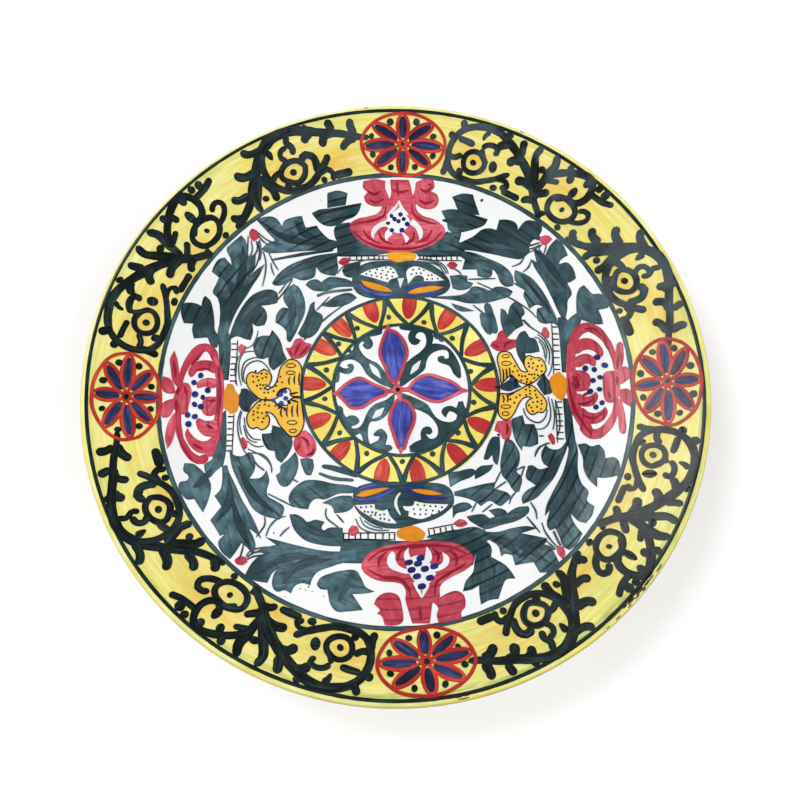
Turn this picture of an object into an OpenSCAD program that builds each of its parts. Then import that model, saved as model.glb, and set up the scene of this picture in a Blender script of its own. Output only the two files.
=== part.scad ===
// Hand painted earthenware plate: a thrown clay plate on a turned foot,
// coated with glazes and painted with coats of ceramic colour.

/* [Plate] */
// Outside diameter over the lip
plate_d = 300; // [290:1:315]
// Thickness of the fired wall, with its glaze
wall_t = 5.5; // [5:0.1:6.5]
// Radius of the flat floor of the well
floor_r = 85; // [80:0.5:88]
// Radius at which the curve of the well runs into the straight flange
bend_r = 110; // [106:0.5:112]
// Angle of the flange above level
flange_angle = 20.8; // [15:0.1:25]

/* [Foot] */
// Outside diameter of the foot ring
foot_d = 152; // [130:1:160]
// Width of the foot ring
foot_w = 8; // [6:0.5:12]
// Height of the foot ring under the well
foot_h = 6; // [5:0.1:8]
// Radius of the worn edges of the foot ring
foot_round = 1.5; // [0.5:0.1:2]

/* [Coats] */
// Thickness of every glaze
glaze_t = 0.4; // [0.3:0.05:0.6]
// Thickness of every coat of painted colour
paint_t = 0.24; // [0.2:0.02:0.4]

/* [Painted lines] */
// Width of the green line at the lip
lip_line_w = 1.4; // [1:0.1:2]
// Middle radius of the green line around the well
well_line_r = 115.2; // [114.5:0.1:116]
// Width of the green line around the well
well_line_w = 1.8; // [1.2:0.1:2.2]

/* [Medallion] */
// Middle radius of the inner circle of the medallion
medallion_in_r = 34; // [32:0.5:35]
// Middle radius of the outer circle of the medallion
medallion_out_r = 47.5; // [46:0.5:49]
// Width of the medallion's green lines
medallion_line_w = 1.7; // [1.4:0.1:2]
// Number of points of the zigzag
medallion_points = 14; // [12:1:16]
// Length of each blue kite
kite_l = 26; // [22:1:28]
// Width of each blue kite
kite_w = 12; // [8:1:13]

/* [Rim pattern] */
// Half of each oval rosette, measured outwards across the flange
rosette_deep = 14.2; // [12:0.1:14.4]
// Half of each oval rosette, measured along the flange
rosette_wide = 21.4; // [15:0.1:22]
// Number of petals of a rosette
rosette_petals = 8; // [6:1:9]
// Width of the vine's strokes
vine_w = 2.2; // [1.6:0.1:2.6]

/* [Well pattern] */
// Distance from the centre to the foot of each flower
flower_r = 76; // [75:0.5:78]
// Length of a large leaf
leaf_l = 34; // [28:1:36]
// Width of a large leaf
leaf_w = 11; // [8:1:12]

/* [Hidden] */

$fn = 180;
curve_steps = 10;              // steps along the curve of the well
lip_steps = 16;                // steps round the lip
floor_z = foot_h + wall_t;     // height of the flat floor of the well
bend_rho = (bend_r - floor_r) / sin(flange_angle);   // radius of the curve of the well
lip_rho = wall_t / 2;          // radius of the rounded lip
lip_r = plate_d / 2 - lip_rho; // radius at which the lip is centred
foot_r = foot_d / 2;
rosette_mid_r = 130.4;         // radius on which the rosettes are centred
well_paint_r = well_line_r - well_line_w / 2 - 0.4;  // outer limit of the painting in the well
rim_paint_in = well_line_r + well_line_w / 2;        // inner limit of the painting on the flange
bend_mid = [floor_r, floor_z + bend_rho];            // middle of the curve of the well
lip_mid = [lip_r, flange_z(lip_r, lip_rho)];         // the lip is centred on the middle of the wall
rim_paint_out = lip_point(0, 0)[0];                  // outer limit of the face, at the lip
medallion_step = 360 / medallion_points;
paint_top = floor_z + 40;      // above every painted face
dot_r = 1.1;                   // radius of the small painted dots

// ---- Section through the plate -------------------------------------------------

// Point on the curve of the well at an angle, at a depth below the face
function curve_point(a, depth) = bend_mid + (bend_rho + depth) * [sin(a), -cos(a)];

// Where the curve ends and the flange begins, at a depth below the face
function bend_point(depth) = curve_point(flange_angle, depth);

// Height of the flange at a radius, at a depth below the face
function flange_z(r, depth) = bend_point(depth)[1] + (r - bend_point(depth)[0]) * tan(flange_angle);

// Point round the lip; angle 0 is on top, where the face ends, and 180 is below
function lip_point(a, depth) =
    lip_mid + (lip_rho - depth) * [cos(90 + flange_angle - a), sin(90 + flange_angle - a)];

// The face from the edge of the flat floor to the start of the flange, outwards
function curve_out(depth) = [for (i = [0:curve_steps]) curve_point(i * flange_angle / curve_steps, depth)];

// The same stretch, inwards
function curve_in(depth) = [for (i = [curve_steps:-1:0]) curve_point(i * flange_angle / curve_steps, depth)];

// Half turn round the lip, from the face to the back
function lip_round(depth) = [for (i = [0:lip_steps]) lip_point(i * 180 / lip_steps, depth)];

// The same half turn, from the back to the face
function lip_back(depth) = [for (i = [lip_steps:-1:0]) lip_point(i * 180 / lip_steps, depth)];

// Depth, below the face, of the surface that lies a distance above the back
function above_back(distance) = wall_t - distance;

// A band of the straight flange between two radii and two depths
module flange_band(r_in, r_out, depth_low, depth_high) {
    rotate_extrude()
        polygon([
            [r_in, flange_z(r_in, depth_low)], [r_out, flange_z(r_out, depth_low)],
            [r_out, flange_z(r_out, depth_high)], [r_in, flange_z(r_in, depth_high)]
        ]);
}

// ---- Clay and glazes -----------------------------------------------------------

module clay_body() {
    color("#c98f63")
        rotate_extrude()
            polygon(concat(
                [[0, floor_z - glaze_t]],
                curve_out(glaze_t),
                lip_round(glaze_t),
                curve_in(above_back(glaze_t)),
                [[0, foot_h + glaze_t]]
            ));
}

// The foot is turned with a flat bottom and worn edges
module foot_ring() {
    color("#b97c52")
        rotate_extrude()
            polygon([
                [foot_r - foot_w + foot_round, 0],
                [foot_r - foot_round, 0],
                [foot_r, foot_round],
                [foot_r, foot_h + glaze_t],
                [foot_r - foot_w, foot_h + glaze_t],
                [foot_r - foot_w, foot_round]
            ]);
}

module white_glaze() {
    color("#f8f8f4")
        rotate_extrude()
            polygon(concat(
                [[0, floor_z]],
                curve_out(0),
                [[well_line_r, flange_z(well_line_r, 0)], [well_line_r, flange_z(well_line_r, glaze_t)]],
                curve_in(glaze_t),
                [[0, floor_z - glaze_t]]
            ));
}

module flange_glaze() {
    color("#f0d84c")
        rotate_extrude()
            polygon([
                [well_line_r, flange_z(well_line_r, 0)],
                [well_line_r, flange_z(well_line_r, glaze_t)],
                lip_point(0, glaze_t),
                lip_point(0, 0)
            ]);
}

module lip_glaze() {
    color("#f6e88a")
        rotate_extrude()
            polygon(concat(lip_round(0), lip_back(glaze_t)));
}

module back_glaze() {
    color("#f3ecd2")
        rotate_extrude()
            polygon(concat(
                [[foot_r, foot_h], [foot_r, foot_h + glaze_t]],
                curve_out(above_back(glaze_t)),
                [lip_point(180, glaze_t), lip_point(180, 0)],
                curve_in(wall_t)
            ));
}

module foot_recess_glaze() {
    color("#f3ecd2")
        translate([0, 0, foot_h])
            cylinder(r = foot_r - foot_w, h = glaze_t);
}

// ---- Flat outlines from which the painted coats are cut ------------------------

// Children at a radius and an angle, turned to point outwards along X
module at(r, a) {
    rotate(a) translate([r, 0]) children();
}

// Straight brush stroke with round ends
module stroke(a, b, w) {
    run = b - a;
    translate(a) rotate(atan2(run[1], run[0])) translate([0, -w / 2]) square([norm(run), w]);
    translate(a) circle(d = w, $fn = 24);
    translate(b) circle(d = w, $fn = 24);
}

// Round line of a radius and a width
module hoop(r, w) {
    difference() {
        circle(r = r + w / 2);
        circle(r = r - w / 2);
    }
}

// Oval with half axes along X and along Y
module oval(half_x, half_y) {
    polygon([for (a = [0:10:350]) [half_x * cos(a), half_y * sin(a)]]);
}

// Leaf with two pointed ends, along X from the origin
module leaf(l, w) {
    rho = (l * l + w * w) / (4 * w);
    intersection() {
        translate([l / 2, rho - w / 2]) circle(r = rho);
        translate([l / 2, w / 2 - rho]) circle(r = rho);
    }
}

// ---- Painted coats on the flat floor -------------------------------------------

// A coat of paint cut to a flat outline, at a height above the floor
module floor_coat(lift = 0) {
    translate([0, 0, floor_z + lift]) linear_extrude(paint_t) children();
}

module medallion_wash() {
    color("#f2dc62")
        floor_coat()
            hoop((medallion_in_r + medallion_out_r) / 2,
                 medallion_out_r - medallion_in_r + medallion_line_w);
}

module medallion_lines() {
    color("#1d3d3a")
        floor_coat(paint_t) {
            hoop(medallion_in_r, medallion_line_w);
            hoop(medallion_out_r, medallion_line_w);
            for (i = [0:medallion_points - 1])
                for (side = [-1, 1])
                    stroke(
                        medallion_out_r * [cos(i * medallion_step), sin(i * medallion_step)],
                        medallion_in_r * [cos((i + side / 2) * medallion_step),
                                          sin((i + side / 2) * medallion_step)],
                        medallion_line_w
                    );
        }
}

module medallion_petals() {
    petal_in = medallion_in_r + 4.2;
    petal_out = medallion_out_r - medallion_line_w;
    color("#d9472f")
        floor_coat(paint_t)
            for (i = [0:medallion_points - 1])
                at(petal_in, (i + 0.5) * medallion_step) leaf(petal_out - petal_in, 4);
}

module kite_outline() {
    polygon([[0, 0], [kite_l * 0.55, kite_w / 2], [kite_l, 0], [kite_l * 0.55, -kite_w / 2]]);
}

module medallion_kites() {
    color("#3b45a8")
        floor_coat()
            for (i = [0:3]) at(5, i * 90) kite_outline();
}

module medallion_scrolls() {
    color("#24423f")
        floor_coat()
            for (i = [0:3]) {
                at(8, 45 + i * 90) leaf(14, 5);
                at(20, 45 + i * 90) for (side = [-1, 1]) stroke([2, side * 3], [6.5, side * 8], 2.4);
            }
}

module seed_pod() {
    difference() {
        translate([-22, 0]) leaf(44, 20);
        translate([-18, 2]) leaf(17, 6);
        translate([1, 2]) leaf(17, 6);
    }
}

module seed_pods() {
    color("#2c4648")
        floor_coat()
            for (i = [0:1]) at(59, 90 + i * 180) rotate(90) seed_pod();
}

// Leaves fanned out from a round middle, at angles from X
module fan(middle_r, angles, l, w) {
    circle(r = middle_r);
    for (a = angles) rotate(a) translate([middle_r * 0.6, 0]) leaf(l, w);
}

module spotted_bow() {
    fan(5, [-115, -50, 50, 115], 16, 8);
}

module spotted_bows() {
    color("#efc23e")
        floor_coat()
            for (i = [0:1]) at(62, i * 180) spotted_bow();
}

module tulip_buds() {
    color("#cf4652")
        floor_coat()
            for (i = [0:3])
                at(50.5, 26 + i * 90 + (i % 2) * 38)
                    for (side = [-1, 0, 1]) translate([abs(side), side * 1.5]) rotate(side * 25) leaf(9, 4);
}

// ---- Painted coats that climb the curve of the well ----------------------------

// The skin of paint over the whole of the well
module well_skin() {
    rotate_extrude()
        polygon(concat(
            [[0, floor_z]],
            curve_out(0),
            [[well_paint_r, flange_z(well_paint_r, 0)], [well_paint_r, flange_z(well_paint_r, -paint_t)]],
            curve_in(-paint_t),
            [[0, floor_z + paint_t]]
        ));
}

// Paint in the well, cut to a flat outline
module well_coat() {
    intersection() {
        well_skin();
        linear_extrude(paint_top) children();
    }
}

module palmette() {
    for (side = [-1, 1]) {
        leaf_turn = 40 * side;
        translate([1, 0]) rotate(leaf_turn) leaf(26, 12);
        stroke([30, side * 11], [34, side * 11], 9);
    }
    stroke([4, 0], [33, 0], 9);
}

module palmettes() {
    color("#c9475a")
        well_coat()
            for (i = [0:1]) at(flower_r, 90 + i * 180) palmette();
}

module blossom() {
    translate([13, 0]) fan(7, [-100, -50, 0, 50, 100], 18, 8);
}

module blossoms() {
    color("#d0475a")
        well_coat()
            for (i = [0:1]) at(flower_r, i * 180) blossom();
}

module orange_tabs() {
    color("#f0a336")
        floor_coat()
            for (i = [0:3]) at(71, i * 90) translate([-2.5, -6]) square([5, 12]);
}

// Leaves of one corner, as position radius, angle from the diagonal, turn and size
corner_leaves = [
    [70, -1, 0, 1.0], [62, 14, 62, 0.8], [62, -14, -62, 0.8],
    [88, 11, 100, 0.85], [88, -11, -100, 0.85],
    [96, 27, 40, 0.5], [96, -27, -40, 0.5], [53, 4, 80, 0.5], [53, -4, -80, 0.5]
];

module acanthus_leaves() {
    color("#33494d")
        well_coat()
            for (corner = [0:3])
                for (entry = corner_leaves)
                    at(entry[0], 45 + corner * 90 + entry[1])
                        rotate(entry[2]) leaf(leaf_l * entry[3], leaf_w * entry[3]);
}

// ---- Painted coats on the flange -----------------------------------------------

// Paint on the flange, cut to a flat outline
module flange_coat() {
    intersection() {
        flange_band(rim_paint_in, rim_paint_out - lip_line_w, 0, -paint_t);
        linear_extrude(paint_top) children();
    }
}

module rim_lines() {
    color("#1f3d33") {
        flange_band(rim_paint_out - lip_line_w, rim_paint_out, 0, -paint_t);
        flange_band(well_line_r - well_line_w / 2, well_line_r + well_line_w / 2, 0, -paint_t);
    }
}

module rim_rosette_outlines() {
    line_w = 1.6;
    color("#cf432a")
        flange_coat()
            for (i = [0:3])
                at(rosette_mid_r, i * 90)
                    difference() {
                        oval(rosette_deep, rosette_wide);
                        oval(rosette_deep - line_w, rosette_wide - line_w);
                    }
}

// Distance from the middle of a rosette to its edge, in a direction
function rosette_reach(a) = 1 / norm([cos(a) / rosette_deep, sin(a) / rosette_wide]);

module rim_rosette_petals() {
    color("#27305c")
        flange_coat()
            for (i = [0:3])
                at(rosette_mid_r, i * 90) {
                    circle(r = 2);
                    for (k = [0:rosette_petals - 1])
                        rotate(k * 360 / rosette_petals)
                            leaf(0.8 * rosette_reach(k * 360 / rosette_petals), 3.8);
                }
}

// Stretch of a round line about the plate's axis, between two angles
module arc_band(r, w, a_from, a_to) {
    reach = 2 * r;
    intersection() {
        hoop(r, w);
        polygon([[0, 0], reach * [cos(a_from), sin(a_from)], reach * [cos(a_to), sin(a_to)]]);
    }
}

// One of the eight stretches of vine, from a rosette to the diagonal
module vine_stretch() {
    arc_band(141.5, vine_w, 9, 30);
    arc_band(119, vine_w, 11, 24);
    at(129, 16) hoop(4.4, vine_w);
    at(129, 16) circle(r = dot_r);
    for (a = [11, 21, 25, 29]) at(139.5, a) rotate(200) leaf(9, 3);
    for (a = [24, 29, 34]) at(120, a + 2) rotate(35) leaf(9, 3);
    at(119, 40) rotate(12) leaf(23, 3.4);
    for (a = [34, 38]) at(143.5, a) rotate(200) leaf(10, 3);
}

module rim_vine() {
    color("#142824")
        flange_coat()
            for (quarter = [0:3]) {
                rotate(quarter * 90) vine_stretch();
                rotate(quarter * 90) mirror([0, 1]) vine_stretch();
                at(126, 45 + quarter * 90) circle(r = dot_r);
            }
}

clay_body();
foot_ring();
white_glaze();
flange_glaze();
lip_glaze();
back_glaze();
foot_recess_glaze();
rim_lines();
rim_rosette_outlines();
rim_rosette_petals();
rim_vine();
medallion_wash();
medallion_lines();
medallion_petals();
medallion_kites();
medallion_scrolls();
palmettes();
blossoms();
orange_tabs();
seed_pods();
spotted_bows();
tulip_buds();
acanthus_leaves();
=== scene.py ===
"""Looks of a hand painted earthenware plate: glazes as turned skins, and every brush stroke as a film
of paint that lies on the face. Lengths in the drawing are millimetres, seen from above with +X right and
+Y away."""

import math
import random

import bpy
import numpy as np
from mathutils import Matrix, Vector, noise
from mathutils.geometry import delaunay_2d_cdt


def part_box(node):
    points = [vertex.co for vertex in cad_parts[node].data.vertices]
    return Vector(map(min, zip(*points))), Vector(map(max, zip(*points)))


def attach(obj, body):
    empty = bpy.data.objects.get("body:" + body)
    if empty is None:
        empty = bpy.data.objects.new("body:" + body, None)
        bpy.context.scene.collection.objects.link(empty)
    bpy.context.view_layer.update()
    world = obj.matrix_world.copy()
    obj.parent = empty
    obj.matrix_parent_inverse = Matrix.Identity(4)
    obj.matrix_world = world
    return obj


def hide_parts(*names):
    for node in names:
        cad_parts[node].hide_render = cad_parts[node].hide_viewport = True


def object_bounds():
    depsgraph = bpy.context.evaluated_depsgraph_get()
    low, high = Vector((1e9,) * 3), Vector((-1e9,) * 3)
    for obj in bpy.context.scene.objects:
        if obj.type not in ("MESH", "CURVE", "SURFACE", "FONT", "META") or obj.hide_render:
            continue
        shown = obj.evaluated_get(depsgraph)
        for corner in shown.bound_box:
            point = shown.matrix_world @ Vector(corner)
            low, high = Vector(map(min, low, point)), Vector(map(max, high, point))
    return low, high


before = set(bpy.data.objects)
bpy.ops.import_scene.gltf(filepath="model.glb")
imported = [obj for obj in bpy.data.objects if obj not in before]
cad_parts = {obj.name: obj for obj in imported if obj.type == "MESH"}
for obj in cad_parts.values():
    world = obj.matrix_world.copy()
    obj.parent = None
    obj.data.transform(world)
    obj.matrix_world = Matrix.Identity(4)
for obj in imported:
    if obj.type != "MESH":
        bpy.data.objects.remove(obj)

CAD_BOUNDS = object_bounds()
MM = 0.001

# Section through the plate, as in the CAD model
OUT_R = CAD_BOUNDS[1][0] / MM
FLOOR_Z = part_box("medallion_wash")[0][2] / MM
FOOT_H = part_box("foot_ring")[1][2] / MM
FOOT_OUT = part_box("foot_ring")[1][0] / MM
FOOT_W = 8.0
FOOT_ROUND = 1.5
WALL = 5.5
GLAZE = 0.4
FLOOR_R = 85.0
BEND_R = 110.0
WELL_EDGE = 115.2
FLANGE = math.radians(20.8)
BEND_RHO = (BEND_R - FLOOR_R) / math.sin(FLANGE)
BEND_Z = FLOOR_Z + BEND_RHO * (1 - math.cos(FLANGE))
LIP_RHO = WALL / 2
LIP_R = OUT_R - LIP_RHO
FACE_R = LIP_R - LIP_RHO * math.sin(FLANGE)
LIP_Z = BEND_Z + (FACE_R - BEND_R) * math.tan(FLANGE) - LIP_RHO * math.cos(FLANGE)

# Films of paint: how far the edge sinks and the underside dips into the glaze, the rise from one stroke
# to the next before it starts over, the width of the pool at the edge, and the spacing of the points
EDGE_DROP = 0.012
UNDER_LIFT = -0.09
LAYER = 0.004
LAYERS = 24
POOL_W = 0.8
ROW_STEP = 1.1
GRID_STEP = 1.7
INSET = 0.45
SHARP_TURN = math.radians(62)
CREASE = math.radians(35)

random.seed(7)


# ---- The face ------------------------------------------------------------------------------------

def face_point(r, depth=0.0):
    """Radius and height of the point at a depth under the face, and the slope of the face there."""
    if r <= FLOOR_R:
        slope = 0.0
        z = FLOOR_Z
    elif r <= BEND_R:
        slope = math.asin((r - FLOOR_R) / BEND_RHO)
        z = FLOOR_Z + BEND_RHO * (1 - math.cos(slope))
    elif r <= FACE_R:
        slope = FLANGE
        z = BEND_Z + (r - BEND_R) * math.tan(FLANGE)
    else:
        slope = -math.asin(min((r - LIP_R) / LIP_RHO, 1.0))
        z = LIP_Z + LIP_RHO * math.cos(slope)
    return r + depth * math.sin(slope), z - depth * math.cos(slope), slope


def hand(x, y):
    """How far the thrown wall swells or sinks at a place."""
    far = math.hypot(x, y) / OUT_R
    return 0.16 * far * noise.noise(Vector((x / 46, y / 46, 3.0))) - 0.03


def on_face(x, y, lift):
    """A place on the face, lifted along its normal, in metres."""
    r = math.hypot(x, y)
    r_out, z, _ = face_point(r, -lift)
    k = r_out / r if r > 1e-6 else 1.0
    return (x * k * MM, y * k * MM, (z + hand(x, y)) * MM)


# ---- Meshes --------------------------------------------------------------------------------------

def add_object(name, verts, faces, attributes, material):
    """A smooth shaded mesh with its attributes, linked to the scene."""
    mesh = bpy.data.meshes.new(name)
    mesh.from_pydata(verts, [], faces)
    for key, values in attributes.items():
        wide = np.ndim(values) == 2
        layer = mesh.attributes.new(key, "FLOAT_VECTOR" if wide else "FLOAT", "POINT")
        layer.data.foreach_set("vector" if wide else "value", np.asarray(values, np.float32).ravel())
    mesh.polygons.foreach_set("use_smooth", [True] * len(mesh.polygons))
    mesh.set_sharp_from_angle(angle=CREASE)
    mesh.materials.append(material)
    obj = bpy.data.objects.new(name, mesh)
    bpy.context.scene.collection.objects.link(obj)
    return obj


def declare(obj, slot, *nodes):
    """Hangs the piece on the root and hides the CAD nodes that it stands for; the slot for its finish is
    not used.
    """
    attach(obj, "root")
    if nodes:
        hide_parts(*nodes)
    return obj


def turned(name, section, material, slot, nodes, turns=480, wobble=True):
    """A skin turned about the axis from a closed section of (radius, height) points, anticlockwise."""
    verts = []
    brush = []
    rings = []
    for r, z in section:
        if r < 1e-6:
            rings.append([len(verts)] * turns)
            verts.append((0.0, 0.0, z * MM))
            brush.append((0.0, 0.0, 0.0))
            continue
        rings.append(range(len(verts), len(verts) + turns))
        for k in range(turns):
            a = 2 * math.pi * k / turns
            x, y = r * math.cos(a), r * math.sin(a)
            verts.append((x * MM, y * MM, (z + (hand(x, y) if wobble else 0.0)) * MM))
            brush.append((x, y, z * 3 + r))
    faces = []
    for i, ring in enumerate(rings):
        after = rings[(i + 1) % len(rings)]
        for k in range(turns):
            m = (k + 1) % turns
            corners = list(dict.fromkeys((ring[k], ring[m], after[m], after[k])))
            if len(corners) > 2:
                faces.append(corners)
    obj = add_object(name, verts, faces, {"brush": brush, "edge": [1.0] * len(verts)}, material)
    return declare(obj, slot, *nodes)


# ---- Brush strokes -------------------------------------------------------------------------------

def heading(points, i, closed, chord):
    """Direction in which a line passes a point; at a sharp turn or a free end, that of the chord."""
    n = len(points)
    if not closed and i in (0, n - 1):
        return chord.normalized()
    before = points[i] - points[i - 1]
    after = points[(i + 1) % n] - points[i]
    if before.angle(after) > SHARP_TURN:
        return chord.normalized()
    return (before.normalized() + after.normalized()).normalized()


def flowing(points, closed=False, step=0.9):
    """A flowing line through given points, as an array of points about one step apart."""
    points = [Vector(p) for p in points]
    n = len(points)
    line = []
    for i in range(n if closed else n - 1):
        a, b = points[i], points[(i + 1) % n]
        chord = b - a
        leave = heading(points, i, closed, chord) * chord.length
        arrive = heading(points, (i + 1) % n, closed, chord) * chord.length
        steps = max(2, round(chord.length / step))
        for k in range(steps):
            t = k / steps
            u = 1 - t
            line.append(u * u * (1 + 2 * t) * a + t * u * u * leave
                        + t * t * (3 - 2 * t) * b - t * t * u * arrive)
    if not closed:
        line.append(points[-1])
    return np.array([tuple(p) for p in line])


def swollen(outline, gap):
    """The corners of a closed outline, moved outwards by a gap."""
    points = [Vector(p) for p in outline]
    n = len(points)
    area = sum(points[i - 1].cross(points[i]) for i in range(n))
    grown = []
    for i in range(n):
        along = (points[(i + 1) % n] - points[i - 1]).normalized()
        grown.append(tuple(points[i] + Vector((along.y, -along.x)) * math.copysign(gap, area)))
    return grown


def circle(x, y, r, squash=1.0, turn=0.0, n=24):
    """Points round a circle, or round an oval that is squashed across the direction of turn."""
    c, s = math.cos(math.radians(turn)), math.sin(math.radians(turn))
    ring = []
    for k in range(n):
        a = 2 * math.pi * k / n
        u, v = r * math.cos(a), r * squash * math.sin(a)
        ring.append((x + u * c - v * s, y + u * s + v * c))
    return ring


class Coat:
    """All the paint of one colour in one area. Each stroke lies a little higher than the one before."""

    def __init__(self, name, lift):
        self.name = name
        self.lift = lift
        self.count = 0
        self.verts = []
        self.faces = []
        self.brush = []
        self.edge = []
        self.tone = []

    def next_lift(self):
        self.count += 1
        return self.lift + LAYER * (self.count % LAYERS)

    def film(self, flat, lifts, brush, edge, tone, tops, rim):
        """Closes a film: its upper side, the same side turned over underneath, and a wall along the rim."""
        start = len(self.verts)
        n = len(flat)
        self.verts += [on_face(x, y, h) for (x, y), h in zip(flat, lifts)]
        self.verts += [on_face(x, y, UNDER_LIFT) for x, y in flat]
        self.brush += list(brush) * 2
        self.edge += list(edge) * 2
        self.tone += [tone] * (2 * n)
        for corners in tops:
            self.faces.append([start + c for c in corners])
            self.faces.append([start + n + c for c in reversed(corners)])
        for a, b in rim:
            self.faces.append([start + b, start + a, start + n + a, start + n + b])

    def stroke(self, points, *widths, closed=False, tone=None, blunt=False):
        """One stroke of the brush along a line; its width runs through the given widths from end to end."""
        line = flowing(points, closed)
        if closed:
            line = np.vstack([line, line[:1]])
        run = np.concatenate([[0.0], np.cumsum(np.hypot(*np.diff(line, axis=0).T))])
        length = run[-1]
        wide = max(widths)
        cap = min(wide * (0.16 if blunt else 0.5), length / 2)
        middle = np.linspace(cap, length - cap, max(2, round((length - 2 * cap) / ROW_STEP) + 1))
        ends = np.array([0.0, 0.08, 0.3, 0.62]) * cap
        if closed:
            rows = np.linspace(0, length, max(12, round(length / ROW_STEP)), endpoint=False)
        else:
            rows = np.concatenate([ends, middle, length - ends[::-1]])
        x = np.interp(rows, run, line[:, 0])
        y = np.interp(rows, run, line[:, 1])
        if closed:
            dx, dy = np.roll(x, -1) - np.roll(x, 1), np.roll(y, -1) - np.roll(y, 1)
        else:
            ahead = np.minimum(rows + 0.4, length)
            behind = np.maximum(rows - 0.4, 0)
            dx = np.interp(ahead, run, line[:, 0]) - np.interp(behind, run, line[:, 0])
            dy = np.interp(ahead, run, line[:, 1]) - np.interp(behind, run, line[:, 1])
        size = np.hypot(dx, dy) + 1e-9
        across = np.stack([-dy / size, dx / size], 1)
        half = np.interp(rows / length, np.linspace(0, 1, len(widths)), widths) / 2
        seed = random.random() * 90
        half = half * [1 + 0.14 * noise.noise(Vector((s / 4, seed, 0.0))) for s in rows]
        near_end = np.full(len(rows), 9.0)
        if not closed:
            near_end = np.minimum(rows, length - rows)
            half = half * np.sqrt(1 - (1 - np.clip(near_end / cap, 0.02, 1)) ** 2)
        columns = (-1, -0.72, 0, 0.72, 1) if wide < 3 else (-1, -0.84, -0.45, 0, 0.45, 0.84, 1)
        lift = self.next_lift()
        flat, lifts, brush, edge = [], [], [], []
        for i in range(len(rows)):
            for v in columns:
                flat.append((x[i] + across[i][0] * half[i] * v, y[i] + across[i][1] * half[i] * v))
                inside = min((1 - abs(v)) * half[i], near_end[i])
                lifts.append(lift if abs(v) < 1 and near_end[i] > 0 else lift - EDGE_DROP)
                brush.append((rows[i], half[i] * v, seed))
                edge.append(min(inside / POOL_W, 1.0))
        m = len(columns)
        n = len(rows)
        last = n if closed else n - 1
        tops = []
        rim = []
        for i in range(last):
            j = (i + 1) % n
            tops += [(i * m + k + 1, i * m + k, j * m + k, j * m + k + 1) for k in range(m - 1)]
            rim += [(i * m, j * m), (j * m + m - 1, i * m + m - 1)]
        if not closed:
            rim += [(k + 1, k) for k in range(m - 1)]
            rim += [((n - 1) * m + k, (n - 1) * m + k + 1) for k in range(m - 1)]
        self.film(flat, lifts, brush, edge, random.random() if tone is None else tone, tops, rim)

    def strokes(self, paths, *widths, **how):
        """Several strokes of the same widths."""
        for points in paths:
            self.stroke(points, *widths, **how)

    def shape(self, points, tone=None, grain=None, step=1.0):
        """A patch of paint inside a flowing outline, streaked along a given direction or its own length."""
        outline = flowing(points, closed=True, step=step)
        n = len(outline)
        low, high = outline.min(0), outline.max(0)
        nx, ny = [max(2, round(d / GRID_STEP)) for d in high - low]
        grid = np.array([(a, b) for a in np.linspace(low[0], high[0], nx)
                         for b in np.linspace(low[1], high[1], ny)])
        sides = np.roll(outline, -1, 0) - outline
        inward = np.stack([-sides[:, 1], sides[:, 0]], 1) / (np.hypot(*sides.T)[:, None] + 1e-9)
        area = np.sum(outline[:, 0] * np.roll(outline[:, 1], -1)
                      - np.roll(outline[:, 0], -1) * outline[:, 1])
        inset = outline + sides / 2 + inward * math.copysign(INSET, area)
        spots = np.vstack([inset, grid])
        gap = distances(spots, outline)
        keep = np.concatenate([gap[:n] > 0.36, gap[n:] > 1.1])
        spots = spots[keep & inside(spots, outline)]
        flat = [Vector(p) for p in np.vstack([outline, spots])]
        flat, _, tris, *_ = delaunay_2d_cdt(flat, [], [list(range(n))], 1, 1e-5)
        tris = [list(t) for t in tris if len(t) == 3]
        for t in tris:
            a, b, c = [flat[k] for k in t]
            if (b - a).cross(c - a) < 0:
                t.reverse()
        used = set()
        for t in tris:
            used |= {(t[0], t[1]), (t[1], t[2]), (t[2], t[0])}
        rim = [(a, b) for a, b in used if (b, a) not in used]
        flat = np.array([tuple(p) for p in flat])
        spread = flat - flat.mean(0)
        if grain is None:
            grain = np.linalg.svd(spread, full_matrices=False)[2][0]
        else:
            grain = np.array([math.cos(math.radians(grain)), math.sin(math.radians(grain))])
        seed = random.random() * 90
        along = spread @ grain
        over = spread @ np.array([-grain[1], grain[0]])
        reach = distances(flat, outline)
        lift = self.next_lift()
        lifts = [lift if d > 0.05 else lift - EDGE_DROP for d in reach]
        edge = np.minimum(reach / POOL_W, 1.0)
        brush = [(a, b, seed) for a, b in zip(along, over)]
        self.film(flat, lifts, brush, edge, random.random() if tone is None else tone, tris, sorted(rim))

    def shapes(self, outlines, **how):
        """Several patches."""
        for points in outlines:
            self.shape(points, **how)

    def dot(self, x, y, d):
        """A touch of the brush: a small, not quite round dot."""
        self.shape(circle(x, y, d / 2, random.uniform(0.82, 1.0), random.uniform(0, 180), 8), step=0.5)

    def dots(self, places, d):
        """Dots of about the same size."""
        for x, y in places:
            self.dot(x, y, d * random.uniform(0.88, 1.12))

    def finish(self, material, slot, *nodes):
        """Makes the coat one object, which stands for the given CAD nodes."""
        attributes = {"brush": self.brush, "edge": self.edge, "tone": self.tone}
        return declare(add_object(self.name, self.verts, self.faces, attributes, material), slot, *nodes)


def distances(spots, outline):
    """Distance of every spot from a closed outline."""
    a = outline[None, :, :]
    d = np.roll(outline, -1, 0)[None, :, :] - a
    to = spots[:, None, :] - a
    t = np.clip((to * d).sum(2) / ((d * d).sum(2) + 1e-12), 0, 1)
    return np.sqrt((((to - t[:, :, None] * d) ** 2).sum(2)).min(1))


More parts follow.
